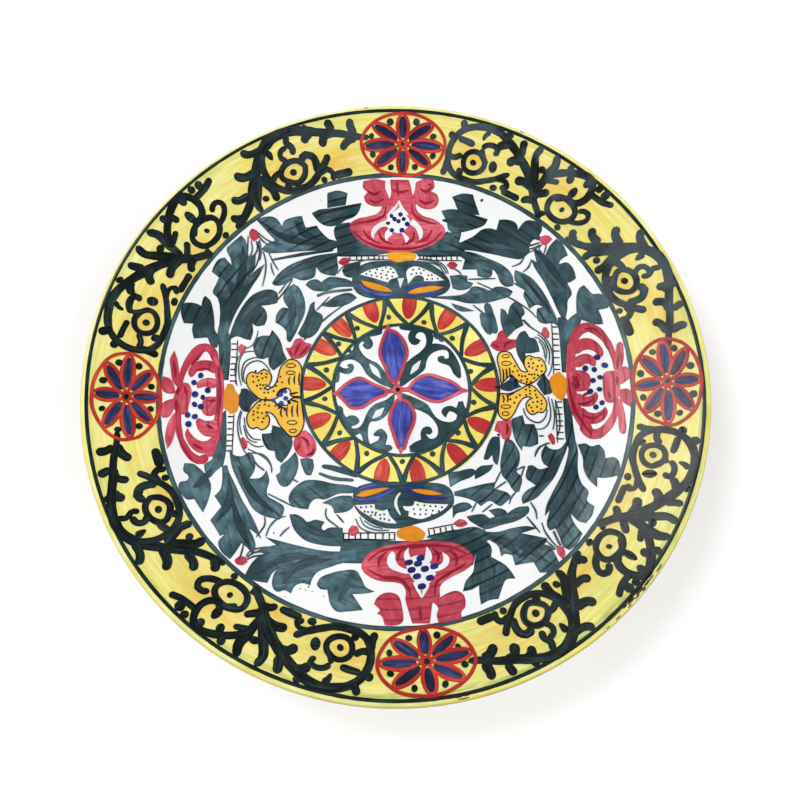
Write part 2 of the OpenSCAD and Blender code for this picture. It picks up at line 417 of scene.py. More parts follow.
def inside(spots, outline):
    """Which spots lie inside a closed outline, by the crossings of a ray along X."""
    a = outline[None, :, :]
    b = np.roll(outline, -1, 0)[None, :, :]
    y = spots[:, None, 1]
    over = (a[:, :, 1] > y) != (b[:, :, 1] > y)
    at = a[:, :, 0] + (y - a[:, :, 1]) * (b[:, :, 0] - a[:, :, 0]) / (b[:, :, 1] - a[:, :, 1] + 1e-12)
    return (over & (spots[:, None, 0] < at)).sum(1) % 2 == 1


# ---- Materials -----------------------------------------------------------------------------------

def linear(r, g, b):
    """A display colour of 0 to 255 as the renderer's linear colour."""
    return tuple((c / 255 / 12.92 if c <= 10 else ((c / 255 + 0.055) / 1.055) ** 2.4)
                 for c in (r, g, b)) + (1.0,)


class Nodes:
    """Small help to write a node material."""

    def __init__(self, name):
        self.material = bpy.data.materials.new(name)
        self.material.use_nodes = True
        self.tree = self.material.node_tree
        self.shader = self.tree.nodes["Principled BSDF"]

    def add(self, kind, **settings):
        node = self.tree.nodes.new(kind)
        for key, value in settings.items():
            setattr(node, key, value)
        return node

    def link(self, a, b):
        self.tree.links.new(a, b)

    def feed(self, socket, value):
        """Sets a socket to a fixed value, or links it to another node's output."""
        if isinstance(value, (tuple, float)):
            socket.default_value = value
        else:
            self.link(value, socket)

    def place(self):
        """The place on the plate, in metres."""
        return self.add("ShaderNodeTexCoord").outputs["Object"]

    def attribute(self, name):
        return self.add("ShaderNodeAttribute", attribute_name=name)

    def noise(self, vector, scale, stretch=(1, 1, 1), detail=3.0):
        place = self.add("ShaderNodeMapping")
        place.inputs["Scale"].default_value = [scale * s for s in stretch]
        self.link(vector, place.inputs["Vector"])
        tex = self.add("ShaderNodeTexNoise")
        tex.inputs["Scale"].default_value = 1.0
        tex.inputs["Detail"].default_value = detail
        self.link(place.outputs["Vector"], tex.inputs["Vector"])
        return tex.outputs["Fac"]

    def remap(self, value, low, high, to_low=0.0, to_high=1.0):
        node = self.add("ShaderNodeMapRange")
        for key, number in (("From Min", low), ("From Max", high), ("To Min", to_low), ("To Max", to_high)):
            node.inputs[key].default_value = number
        self.link(value, node.inputs["Value"])
        return node.outputs["Result"]

    def mix(self, amount, a, b):
        node = self.add("ShaderNodeMix", data_type="RGBA")
        self.feed(node.inputs["Factor"], amount)
        self.feed(node.inputs[6], a)
        self.feed(node.inputs[7], b)
        return node.outputs[2]

    def times(self, a, b):
        node = self.add("ShaderNodeMath", operation="MULTIPLY")
        self.feed(node.inputs[0], a)
        self.feed(node.inputs[1], b)
        return node.outputs[0]

    def circles(self, where, scale, distortion, ragged=1.0):
        """Circles round the axis of the plate, drawn out of true."""
        wave = self.add("ShaderNodeTexWave", wave_type="RINGS", rings_direction="Z")
        for key, value in (("Scale", scale), ("Distortion", distortion), ("Detail", 2.0),
                           ("Detail Scale", ragged)):
            wave.inputs[key].default_value = value
        self.link(where, wave.inputs["Vector"])
        return wave.outputs["Fac"]

    def bump(self, height, strength, distance, below=None):
        """A relief, on top of another one where one is given."""
        node = self.add("ShaderNodeBump")
        node.inputs["Strength"].default_value = strength
        node.inputs["Distance"].default_value = distance
        self.link(height, node.inputs["Height"])
        if below:
            self.link(below, node.inputs["Normal"])
        return node.outputs["Normal"]

    def throwing_rings(self):
        """Thin broken circles round the outer part of the plate, from 0 to 1."""
        where = self.place()
        wave = self.circles(where, 66.0, 1.6, 0.5)
        broken = self.remap(self.noise(where, 30.0), 0.46, 0.56)
        far = self.add("ShaderNodeVectorMath", operation="LENGTH")
        self.link(where, far.inputs[0])
        outside = self.remap(far.outputs["Value"], 0.055, 0.07)
        return self.times(self.times(self.remap(wave, 0.82, 0.97), broken), outside)

    def gloss(self, roughness, relief):
        """Glassy surface with the rings left by throwing and the orange peel of a fired glaze."""
        where = self.place()
        uneven = self.remap(self.noise(where, 90.0), 0.3, 0.7, roughness * 0.75, roughness * 1.3)
        self.link(uneven, self.shader.inputs["Roughness"])
        thrown = self.bump(self.circles(where, 55.0, 2.5), relief, 0.0002)
        peel = self.bump(self.noise(where, 300.0), relief, 0.0003, thrown)
        self.link(peel, self.shader.inputs["Normal"])
        self.shader.inputs["IOR"].default_value = 1.45
        self.shader.inputs["Specular IOR Level"].default_value = 0.38


def paint(name, thin, body, deep, streak=0.9, pool=0.5, patchy=0.5, rings=0.0, upper_right_grey=0.0):
    """Ceramic colour laid on with a brush: thin streaks along it, and deeper colour in clouds, in the pool
    at the edge and in the throwing rings. The colour can also turn greyer towards the upper right of the
    plate."""
    nodes = Nodes(name)
    brush = nodes.attribute("brush").outputs["Vector"]
    hairs = nodes.noise(brush, 1.0, (0.09, streak, 1.0), 4.0)
    clouds = nodes.noise(brush, 0.16, (1.0, 1.0, 6.0), 2.0)
    colour = nodes.mix(nodes.remap(hairs, 0.3, 0.56), linear(*thin), linear(*body))
    colour = nodes.mix(nodes.remap(clouds, 0.42, 0.72, 0.0, patchy), colour, linear(*deep))
    where = nodes.place()
    overlaps = nodes.remap(nodes.noise(where, 34.0, detail=1.0), 0.52, 0.66, 0.0, patchy)
    colour = nodes.mix(overlaps, colour, linear(*deep))
    tone = nodes.attribute("tone").outputs["Fac"]
    colour = nodes.mix(nodes.remap(tone, 0.35, 1.0, 0.0, 0.7), colour, linear(*deep))
    edge = nodes.remap(nodes.attribute("edge").outputs["Fac"], 0.1, 0.9, pool, 0.0)
    colour = nodes.mix(edge, colour, linear(*deep))
    if rings:
        darkest = linear(*[c * 0.4 for c in deep])
        colour = nodes.mix(nodes.times(nodes.throwing_rings(), rings), colour, darkest)
    # Greyer colour in patches towards the upper right of the plate
    if upper_right_grey:
        corner = nodes.add("ShaderNodeVectorMath", operation="DOT_PRODUCT")
        nodes.link(where, corner.inputs[0])
        corner.inputs[1].default_value = (0.6, 0.8, 0.0)
        greying = nodes.times(nodes.remap(corner.outputs["Value"], 0.03, 0.13, 0.0, upper_right_grey),
                              nodes.remap(nodes.noise(where, 60.0), 0.42, 0.56))
        colour = nodes.mix(greying, colour, linear(84, 96, 102))
    nodes.link(colour, nodes.shader.inputs["Base Color"])
    nodes.gloss(0.24, 0.12)
    return nodes.material


def tin_glaze(name, colour, warm, patch_scale=18.0, speck=0.5):
    """Milky white or cream glaze with faint clouds and a few dark specks of iron."""
    nodes = Nodes(name)
    where = nodes.place()
    clouds = nodes.noise(where, patch_scale, detail=4.0)
    tinted = nodes.mix(nodes.remap(clouds, 0.4, 0.75), linear(*colour), linear(*warm))
    specks = nodes.remap(nodes.noise(where, 420.0, detail=1.0), 0.76, 0.8, 0.0, speck)
    tinted = nodes.mix(specks, tinted, linear(120, 108, 96))
    nodes.link(tinted, nodes.shader.inputs["Base Color"])
    nodes.gloss(0.2, 0.14)
    return nodes.material


def yellow_glaze(name, pale, body, orange):
    """Yellow glaze brushed round the flange: pale streaks, and orange where a second coat went on."""
    nodes = Nodes(name)
    brush = nodes.attribute("brush").outputs["Vector"]
    streaks = nodes.noise(brush, 1.0, (0.035, 0.035, 0.3), 5.0)
    colour = nodes.mix(nodes.remap(streaks, 0.32, 0.66), linear(*pale), linear(*body))
    second = nodes.attribute("second_coat").outputs["Fac"]
    breakup = nodes.remap(nodes.noise(brush, 0.12, detail=4.0), 0.3, 0.62, 0.35, 1.0)
    colour = nodes.mix(nodes.times(second, breakup), colour, linear(*orange))
    green = nodes.remap(nodes.noise(brush, 0.045, detail=3.0), 0.5, 0.7, 0.0, 0.4)
    colour = nodes.mix(green, colour, linear(200, 206, 100))
    bleed = nodes.remap(nodes.noise(brush, 0.1, (1.0, 1.0, 4.0)), 0.35, 0.65, 0.15, 0.9)
    ran = nodes.times(nodes.attribute("bleed").outputs["Fac"], bleed)
    colour = nodes.mix(ran, colour, linear(132, 160, 96))
    # Painted shade: olive where the shade attribute marks the lower outer lip
    colour = nodes.mix(nodes.attribute("shade").outputs["Fac"], colour, linear(146, 134, 48))
    nodes.link(colour, nodes.shader.inputs["Base Color"])
    nodes.gloss(0.2, 0.14)
    return nodes.material


def bare_clay(name, body, dark):
    """Unglazed earthenware: matt, grainy and a little stained."""
    nodes = Nodes(name)
    where = nodes.place()
    stain = nodes.noise(where, 40.0, detail=5.0)
    colour = nodes.mix(nodes.remap(stain, 0.35, 0.7), linear(*body), linear(*dark))
    grit = nodes.noise(where, 900.0)
    colour = nodes.mix(nodes.remap(grit, 0.62, 0.72, 0.0, 0.5), colour, linear(92, 62, 44))
    nodes.link(colour, nodes.shader.inputs["Base Color"])
    nodes.link(nodes.remap(grit, 0.3, 0.7, 0.75, 0.95), nodes.shader.inputs["Roughness"])
    nodes.link(nodes.bump(grit, 0.5, 0.0003), nodes.shader.inputs["Normal"])
    return nodes.material


WHITE = tin_glaze("white_glaze", (238, 238, 238), (224, 226, 228))
CREAM = tin_glaze("back_glaze", (228, 222, 206), (208, 198, 176), 12.0, 0.8)
YELLOW = yellow_glaze("yellow_glaze", (241, 236, 164), (232, 215, 102), (228, 176, 62))
CLAY = bare_clay("clay", (193, 134, 92), (160, 104, 70))
FOOT_CLAY = bare_clay("bare_clay", (203, 152, 112), (168, 118, 84))
LINE_GREEN = paint("line_green", (46, 74, 70), (22, 40, 38), (6, 14, 14))
WELL_GREEN = paint("well_line_green", (84, 112, 114), (54, 78, 82), (22, 40, 42))
VINE_GREEN = paint("vine_green", (50, 68, 66), (14, 26, 26), (2, 5, 6), patchy=0.6, upper_right_grey=0.55)
LEAF_GREEN = paint("leaf_green", (104, 134, 142), (77, 104, 114), (28, 50, 54), streak=0.8, pool=0.5,
                   patchy=0.8, rings=0.85)
KITE_PINK = paint("kite_pink", (222, 134, 142), (204, 88, 102), (166, 50, 64))
SHADE_GREEN = paint("leaf_shade", (84, 104, 114), (58, 78, 88), (28, 44, 50), streak=0.8, patchy=0.5,
                    rings=0.85)
HAIR_GREEN = paint("hair_green", (104, 128, 138), (64, 84, 94), (30, 46, 52), pool=0.2)
RED = paint("red_line", (220, 96, 72), (194, 52, 40), (146, 26, 30))
RED_WASH = paint("red_wash", (224, 124, 98), (206, 76, 62), (166, 38, 44), streak=0.8, patchy=0.7)
ROSE = paint("rose_red", (222, 122, 136), (203, 78, 95), (164, 42, 62), streak=0.7, pool=0.45, patchy=0.6,
             rings=0.5)
NIGHT_BLUE = paint("petal_blue", (72, 84, 130), (34, 42, 80), (12, 14, 34), streak=1.2)
BLUE = paint("kite_blue", (112, 122, 204), (62, 72, 166), (28, 32, 100), streak=0.6)
ORANGE = paint("orange", (244, 190, 66), (236, 160, 36), (200, 116, 18))
BOW_YELLOW = paint("spot_yellow", (250, 228, 128), (242, 208, 88), (222, 166, 50), pool=0.25)
LEMON = paint("medallion_yellow", (244, 238, 160), (238, 226, 116), (222, 198, 72), streak=0.5, pool=0.1)
ROSE_DEEP = paint("rose_deep", (178, 40, 64), (160, 30, 52), (120, 18, 40), streak=0.8)
SEED_BLUE = paint("seed_blue", (60, 64, 150), (38, 40, 118), (22, 22, 74))
WHITE_PAINT = paint("white_reserve", (240, 240, 240), (232, 233, 234), (206, 210, 214), pool=0.2,
                    patchy=0.2)
INK = paint("ink", (52, 50, 54), (26, 26, 30), (8, 8, 12))
BROWN = paint("chip_brown", (122, 62, 44), (74, 38, 28), (38, 22, 18), streak=0.8)


# ---- Body and glazes -----------------------------------------------------------------------------

def face_run(r_in, r_out, step, depth=0.0):
    """Section points along the face between two radii."""
    n = max(1, round(abs(r_out - r_in) / step))
    return [face_point(r_in + (r_out - r_in) * i / n, depth)[:2] for i in range(n + 1)]


def lip_run(start, end, depth, n):
    """Section points round the lip; angle 0 is where the face ends and 180 is under the lip."""
    points = []
    for i in range(n + 1):
        a = math.radians(90 + math.degrees(FLANGE) - (start + (end - start) * i / n))
        points.append((LIP_R + (LIP_RHO - depth) * math.cos(a), LIP_Z + (LIP_RHO - depth) * math.sin(a)))
    return points


def back_run(r_in, r_out, step, depth):
    """Section points along the back between two radii of the face, a distance inside it."""
    return face_run(r_in, r_out, step, WALL - depth)


def second_coat(angle, r):
    """How much orange was brushed over the yellow at a place on the flange, from 0 to 1."""
    # Middle of each patch in degrees and radius, then its width in degrees and its depth
    patches = [
        (118, 128, 9, 9), (104, 124, 6, 7), (74, 127, 7, 8), (52, 132, 10, 8), (27, 124, 8, 6),
        (14, 136, 7, 7), (-14, 128, 7, 8), (-30, 120, 8, 5), (-46, 124, 9, 7), (-66, 128, 9, 8),
        (-100, 130, 7, 8), (-116, 122, 9, 6), (-130, 132, 10, 8), (-152, 121, 10, 6), (166, 128, 8, 8),
        (146, 120, 9, 6),
    ]
    total = 0.0
    for a, middle, wide, deep in patches:
        off = (angle - a + 180) % 360 - 180
        total += 0.8 * math.exp(-(off / wide) ** 2 - ((r - middle) / deep) ** 2)
    return min(total, 1.0)


def brush_glaze(skin):
    """Stores where orange went on, where the lip line bled into the yellow, and a painted shade that
    darkens the lower outer lip.
    """
    spots = [[c / MM for c in vert.co] for vert in skin.data.vertices]
    turns = [math.degrees(math.atan2(spot[1], spot[0])) for spot in spots]
    radii = [math.hypot(spot[0], spot[1]) for spot in spots]
    wash = [second_coat(angle, r) for angle, r in zip(turns, radii)]
    # Weight round the rim, highest towards the south east; it scales both the lip line's bleed and the
    # painted shade on the lip
    shade_and_bleed_weight = [0.35 + 0.65 * math.exp(-(((angle + 240) % 360 - 180) / 75) ** 2) for angle in turns]
    bleed = [min(0.32 + math.exp(-((r - 145.6) / 1.8) ** 2), 1.0) * much for r, much in zip(radii, shade_and_bleed_weight)]
    # Painted shade: the lower outer lip turns olive, standing in for the shadow that falls under it
    shade = [min(max((LIP_Z + 2.3 - spot[2]) / 1.1, 0.0), 0.9) * much if r > LIP_R else 0.0
             for spot, r, much in zip(spots, radii, shade_and_bleed_weight)]
    for name, values in (("second_coat", wash), ("bleed", bleed), ("shade", shade)):
        skin.data.attributes.new(name, "FLOAT", "POINT").data.foreach_set("value", values)


def make_glazes():
    """White well, yellow flange and lip, cream back: each a turned skin as thick as the glaze."""
    turned("white_glaze_skin", face_run(WELL_EDGE, 0.0, 1.6, GLAZE)[:-1]
           + [(0.0, FLOOR_Z - GLAZE), (0.0, FLOOR_Z)] + face_run(0.0, WELL_EDGE, 1.6)[1:],
           WHITE, "white_glaze", ["white_glaze"], 400)
    flange = turned("flange_glaze_skin",
                    face_run(FACE_R, WELL_EDGE, 1.4, GLAZE) + face_run(WELL_EDGE, FACE_R, 1.4),
                    YELLOW, "yellow_glaze", ["flange_glaze"], 720)
    lip = turned("lip_glaze_skin", lip_run(105, 0, GLAZE, 12) + lip_run(0, 105, 0.0, 14),
                 YELLOW, "lip_glaze", ["lip_glaze"], 720)
    for skin in (flange, lip):
        brush_glaze(skin)
    back_edge = FOOT_OUT - 0.5
    turned("back_glaze_skin", back_run(BEND_R, back_edge, 1.6, 0.0)[1:]
           + back_run(back_edge, BEND_R, 4.0, GLAZE) + back_run(BEND_R, FACE_R, 4.0, GLAZE)[1:]
           + lip_run(180, 105, GLAZE, 8) + lip_run(105, 180, 0.0, 10)
           + back_run(FACE_R, BEND_R, 1.6, 0.0)[1:],
           CREAM, "back_glaze", ["back_glaze"], 540)
    inner = FOOT_OUT - FOOT_W
    turned("foot_recess_skin", [(0.0, FOOT_H + GLAZE - 0.4), (inner + 0.3, FOOT_H + GLAZE - 0.4),
                                (inner + 0.3, FOOT_H - 0.4)]
           + [(inner * k / 24, FOOT_H - 0.4) for k in range(24, -1, -1)],
           CREAM, "back_glaze", ["foot_recess_glaze"], 240)


def make_foot():
    """Turned foot ring with worn edges and a bare bottom."""
    out, inn = FOOT_OUT, FOOT_OUT - FOOT_W
    section = [(out, FOOT_H), (inn, FOOT_H)]
    for corner, start in ((inn + FOOT_ROUND, 180), (out - FOOT_ROUND, 270)):
        for k in range(6):
            a = math.radians(start + 18 * k)
            section.append((corner + FOOT_ROUND * math.cos(a), FOOT_ROUND + FOOT_ROUND * math.sin(a)))
    turned("foot_ring_skin", section, FOOT_CLAY, "bare_clay", ["foot_ring"], 360, wobble=False)
    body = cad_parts["clay_body"]
    body.data.materials.clear()
    body.data.materials.append(CLAY)


# ---- Lines round the plate -----------------------------------------------------------------------

def wavering(x, y, r, sway):
    """A circle drawn by hand on the turning plate."""
    ring = []
    for k in range(72):
        a = 2 * math.pi * k / 72
        rr = r + sway * noise.noise(Vector((2 * math.cos(a), 2 * math.sin(a), r)))
        ring.append((x + rr * math.cos(a), y + rr * math.sin(a)))
    return ring


def make_ring_lines():
    """Green lines along the lip and round the well."""
    lip_line = Coat("lip_line", 0.06)
    lip_line.stroke(wavering(-0.4, 0.0, 146.5, 0.7), 1.7, closed=True, tone=0.7)
    lip_line.finish(LINE_GREEN, "green_line", "rim_lines")
    well_line = Coat("well_line", 0.07)
    well_line.stroke(wavering(0.0, 0.0, WELL_EDGE, 0.5), 2.2, closed=True, tone=0.2)
    well_line.finish(WELL_GREEN, "green_line")


# Nicks in the lip as (degrees, radius, length, width), and stray specks in the glaze as (x, y, size)
NICKS = [(-37.2, 148.4, 4.4, 0.9), (-39.4, 148.0, 3.0, 0.6), (-40.6, 147.9, 4.4, 1.0),
         (-41.8, 148.5, 2.4, 1.4), (-42.6, 147.6, 5.0, 1.5), (-43.6, 148.4, 3.0, 0.8),
         (-44.9, 147.6, 4.6, 1.2), (-45.7, 148.6, 2.4, 0.7), (-46.4, 147.4, 2.6, 0.7),
         (-48.6, 148.7, 3.0, 0.6), (-51.0, 148.8, 1.6, 0.5), (-78.0, 147.6, 2.4, 0.5),
         (-79.4, 147.7, 2.8, 0.5), (-78.6, 148.6, 5.0, 0.5), (96.0, 148.6, 2.2, 0.5),
         (64.0, 148.2, 1.8, 0.5)]
SPECKS = [(44.6, 101.4, 1.7), (-57.4, -70.9, 0.8), (-44.0, -97.2, 0.7), (-41.6, -97.8, 0.6),
          (-40.2, -96.2, 0.8), (-38.4, -98.4, 0.6), (-33.0, -100.6, 0.5), (-22.0, -104.0, 0.5),
          (-104.0, 52.0, 0.5), (96.0, 30.5, 0.6)]


def make_wear():
    """Nicks that show the dark clay along the lip, and specks of stray paint in the well."""
    nicks = Coat("lip_nicks", 0.07)
    for degrees, r, length, width in NICKS:
        half = math.degrees(length / r / 2)
        nicks.stroke([(r * math.cos(math.radians(degrees + t)), r * math.sin(math.radians(degrees + t)))
                      for t in (-half, 0.2, half)], width * 0.5, width, width * 0.6)
    nicks.finish(BROWN, "lip_glaze")
    specks = Coat("well_specks", 0.05)
    for x, y, size in SPECKS:
        specks.dot(x, y, size)
    specks.finish(BROWN, "white_glaze")


# ---- Rosettes on the flange ----------------------------------------------------------------------

ROSETTE_ANGLES = (88.3, 0.1, -84.1, -176.9)
ROSETTE_RADII = (129.9, 130.5, 130.5, 129.2)
ROSETTE_WIDE = 21.6
ROSETTE_DEEP = 15.0
ROSETTE_PETALS = 8
# The outline beside a petal, as (share of the way out, distance aside)
PETAL_SIDE = ((0.1, 0.5), (0.32, 2.2), (0.6, 2.7), (0.84, 1.9), (0.98, 0.3))


def rosette_point(which, along, out):
    """Place beside a rosette's middle: along the flange anticlockwise, and out to the lip."""
    r = ROSETTE_RADII[which]
    a = math.radians(ROSETTE_ANGLES[which]) + along / r
    return (r + out) * math.cos(a), (r + out) * math.sin(a)


def make_rosettes():
    """Eight pointed petals in a hand drawn oval, with a dot between each two."""
    lines = Coat("rosette_lines", 0.2)
    petals = Coat("rosette_petals", 0.16)
    dots = Coat("rosette_dots", 0.24)
    for which in range(len(ROSETTE_ANGLES)):
        def place(t, f, aside=0.0):
            u = math.cos(t) * ROSETTE_WIDE * f - math.sin(t) * aside
            v = math.sin(t) * ROSETTE_DEEP * f + math.cos(t) * aside
            return rosette_point(which, u, v)

        ring = []
        for k in range(28):
            t = 2 * math.pi * k / 28
            sway = noise.noise(Vector((2 * math.cos(t), 2 * math.sin(t), which)))
            ring.append(place(t, 1 + 0.035 * sway))
        lines.stroke(ring, 1.6, closed=True)
        for k in range(ROSETTE_PETALS):
            t = 2 * math.pi * k / ROSETTE_PETALS + random.uniform(-0.05, 0.05)
            petals.stroke([place(t, f) for f in (0.2, 0.5, 0.9)], 2.4, 4.3, 4.3, 2.6)
            for side in (-1, 1):
                lines.stroke([place(t, f, side * aside) for f, aside in PETAL_SIDE], 1.1, 1.8, 1.4)
            between = t + math.pi / ROSETTE_PETALS
            dots.dot(*place(between, random.uniform(0.76, 0.81)), random.uniform(3.0, 3.7))
        lines.shape([place(2 * math.pi * k / 10, 0.15) for k in range(10)])
        dots.dot(*rosette_point(which, 0.3, 0.2), 2.8)
    petals.finish(NIGHT_BLUE, "petal_blue", "rim_rosette_petals")
    dots.finish(VINE_GREEN, "vine_green")
    lines.finish(RED, "red_line", "rim_rosette_outlines")


# ---- Vine on the flange --------------------------------------------------------------------------

VINE_SPAN = 93.5
VINE_WEIGHT = 1.36
ROSETTE_GAP = 9.8

# Each stroke of one quarter of the vine, as (degrees from the rosette, radius) points and its widths
VINE = [
    ([(36, 122), (32.5, 129), (29, 134.5), (24.5, 140.5), (21, 144), (18, 144.5), (14, 142), (12, 138),
      (10.8, 132), (10.8, 126), (11.5, 122), (13, 119.2), (16, 117.8), (19, 117.8), (21.5, 119.8),
      (24, 122.5), (27, 127.5)],
     (3.6, 3.2, 2.6, 2.4, 2.2)),
    ([(12.7, 145.5), (13, 143), (14, 140.3)], (2.8,)),
    ([(23.7, 146), (23.3, 143.5)], (2.8,)),
    ([(27, 145), (27.3, 141.5), (28, 137.5)], (3.0,)),
    ([(19, 143), (18.2, 140.5), (18, 138)], (2.6, 1.2)),
    ([(24.5, 140.3), (23, 139.3), (21.8, 137)], (2.8,)),
    ([(28.8, 134.8), (27, 134.5), (25.5, 131)], (3.0,)),
    ([(28.8, 125.5), (31, 126.8), (34, 126)], (3.2,)),
    ([(10.3, 139), (10.9, 135.5)], (2.8,)),
    ([(10.2, 117.5), (10.8, 121), (11, 126)], (2.6,)),
    ([(12.3, 136), (14.5, 135.3), (16.4, 134.5)], (2.2,)),
    ([(11, 127), (12.5, 126.5), (14.3, 128.7)], (2.2,)),
    ([(14, 119.5), (15.3, 121.8)], (2.8,)),
    ([(18.2, 134), (19, 136), (21, 136.7), (22.3, 134.8), (21.2, 132.8)], (2.2,)),
    ([(18.3, 134), (19, 131), (20.6, 127)], (1.8,)),
    ([(21.3, 126.8), (23.3, 128)], (4.2,)),
    ([(24, 122.5), (27, 122.8), (28, 120)], (1.8,)),
    ([(26.5, 119), (27.5, 121.5)], (2.0,)),
    ([(23.5, 118.2), (25.5, 118.8)], (2.4,)),
    ([(27, 118.5), (32.3, 118.6)], (2.4,)),
    ([(31, 145.8), (30.5, 141), (31.5, 136), (33.5, 129.5), (35, 125)], (2.6, 3.4, 2.4)),
    ([(34.5, 145.8), (35.4, 141), (35, 133), (34.8, 126)], (2.6, 3.6, 2.4)),
    ([(33.2, 138), (33.5, 134.5)], (3.2,)),
    ([(34, 126), (36, 121.5), (38.5, 118), (40, 116.3)], (2.6,)),
    ([(36.2, 121.5), (34.5, 121), (33, 118.5)], (2.6,)),
    ([(35.3, 124.5), (36.7, 126.5), (38, 129)], (2.6,)),
    ([(35.3, 133), (38.3, 135.5)], (2.0,)),
    ([(35, 132), (36, 136), (38, 140), (41, 143.8), (44, 145.2), (45.4, 142), (45.9, 137), (45, 132.5),
      (43, 130.4)], (2.6,)),
    ([(38.5, 145.5), (38.7, 141.5)], (2.6,)),
    ([(39.7, 142), (40.3, 137.5)], (2.8,)),
    ([(43.5, 145), (43.7, 140.5)], (2.6,)),
    ([(41.5, 135), (43.3, 135)], (5.0,)),
    ([(43.5, 133), (41.5, 130), (40, 127.5)], (2.0,)),
    ([(39.3, 120), (39.5, 117.5)], (2.6,)),
    ([(45, 119.5), (45.3, 116.5)], (2.6,)),
    ([(46.6, 130), (47.6, 132), (48.9, 132.3), (49.6, 130), (49, 127), (47.4, 124.6), (45.5, 123.5)],
     (2.2,)),
    ([(46, 143), (47.2, 145.5)], (2.6,)),
    ([(48.5, 145.8), (48.3, 141)], (3.0,)),
    ([(45.8, 139.8), (49, 140.5), (51.3, 142.8)], (2.4,)),
    ([(48.5, 117), (52, 119), (55, 122.5), (57.5, 128), (60, 134), (63, 141), (66, 144.8), (69, 145.2),
      (72, 143.5), (76, 140), (80, 137.5), (84.5, 134.3), (86, 134)], (2.2, 3.4, 3.6, 2.8, 2.0)),
    ([(59.2, 145.5), (60.3, 142.8), (63.3, 141.8)], (3.0,)),
    ([(55.3, 138), (56.5, 134.8), (59.5, 133.8)], (3.0,)),
    ([(52, 129), (53, 126.5), (56, 126)], (3.0,)),
    ([(49, 122.5), (50, 119.5), (51.5, 119)], (3.0,)),
    ([(56.3, 115.8), (56.3, 120), (57.7, 124.5), (59.8, 129.5)], (2.4, 3.4, 2.4)),
    ([(61, 116.5), (61.3, 121), (60.6, 126), (59.8, 131)], (3.0,)),
    ([(62.8, 140.5), (61.6, 135), (61.3, 129), (62, 123.5), (64, 119), (67.5, 117.2), (70.5, 118),
      (73, 121.5), (75, 125.5), (76.2, 128.8)], (2.4,)),
    ([(64, 140), (64.3, 135)], (3.0, 1.4)),
    ([(68.8, 143.5), (68.2, 140), (69, 136.5), (68.4, 133.8)], (2.2,)),
    ([(68, 138.2), (66.5, 137.2), (66, 134.5), (67, 131.5)], (2.2,)),
    ([(61.8, 126), (63, 127.8), (65, 128.3)], (2.4,)),
    ([(69.8, 130.3), (71.3, 132.3), (72.8, 130), (73, 126), (72.5, 122.5)], (2.6,)),
    ([(64.2, 119.8), (65.8, 121.8)], (2.6,)),
    ([(72.8, 121), (75, 122.5), (76, 120), (75.7, 116.3)], (2.2,)),
    ([(76.3, 118.5), (81, 118.8)], (3.0,)),
    ([(72.8, 146), (73, 142)], (2.6,)),
    ([(77.5, 145.5), (78.3, 139.5)], (2.8,)),
    ([(82.3, 144), (82, 141), (82.7, 136)], (2.8,)),
    ([(74, 141.5), (72.3, 140), (72.2, 137)], (3.0,)),
    ([(78.5, 138.3), (76.3, 137.8), (75.2, 133)], (3.0,)),
    ([(83, 134.6), (80.8, 133.2), (79.3, 130)], (3.0,)),
]
# Closed loops with a dot in the middle: outline, width, middle and size of the dot
VINE_EYES = [
    ([(14.9, 127), (15.6, 130.2), (17.5, 131.7), (19.3, 130), (20.3, 127), (19.8, 123.5), (17.5, 121.3),
      (15.7, 122.5)], 2.0, (17.4, 126.3), 3.4),
    ([(39.3, 127.5), (41, 130.3), (43.5, 130.8), (46, 128.5), (46.3, 125), (45, 121.3), (42.5, 119.9),
      (40, 121.5), (39.2, 124.5)], 2.2, (43, 125.7), 2.8),
    ([(64.5, 128), (66.5, 131), (69, 130.5), (70.3, 127), (69.5, 123), (67.3, 120.6), (65.2, 123),
      (64.3, 125.5)], 2.2, (67.2, 126), 3.6),
]
VINE_DOTS = [(58.7, 120.6, 3.6), (73.6, 117.9, 3.4)]


def make_vine():
    """The same scrolling vine in each quarter, stretched to its width and never quite the same twice."""
    vine = Coat("rim_vine_strokes", 0.1)
    quarters = len(ROSETTE_ANGLES)
    for q, start in enumerate(ROSETTE_ANGLES):
        width = (start - ROSETTE_ANGLES[(q + 1) % quarters]) % 360
        stretch = (width - 2 * ROSETTE_GAP) / (VINE_SPAN - 2 * ROSETTE_GAP)

        def place(point, off):
            a = math.radians(start - ROSETTE_GAP - (point[0] - ROSETTE_GAP) * stretch + off[0])
            r = point[1] + off[1]
            return r * math.cos(a), r * math.sin(a)

        def nudge():
            return random.uniform(-0.18, 0.18), random.uniform(-0.25, 0.25)

        for points, widths in VINE:
            off = nudge()
            weight = VINE_WEIGHT * random.uniform(0.92, 1.12)
            vine.stroke([place(p, off) for p in points], *[w * weight for w in widths])
        for points, width, middle, dot in VINE_EYES:
            off = nudge()
            vine.stroke([place(p, off) for p in points], width * VINE_WEIGHT, closed=True)
            vine.dot(*place(middle, off), dot)
        for along, r, dot in VINE_DOTS:
            vine.dot(*place((along, r), nudge()), dot)
    vine.finish(VINE_GREEN, "vine_green", "rim_vine")


# ---- Medallion -----------------------------------------------------------------------------------

# The two circles of the border as (x, y, radius), and the angles of its red petals
MEDAL_OUT = (2.2, 1.0, 48.3)
MEDAL_IN = (3.0, 0.4, 33.6)
MEDAL_PETALS = (83.9, 57.4, 28.4, 2, -26, -51, -79.2, -101.4, -132.1, -157.4, 177.3, 151, 132.7, 109.5)
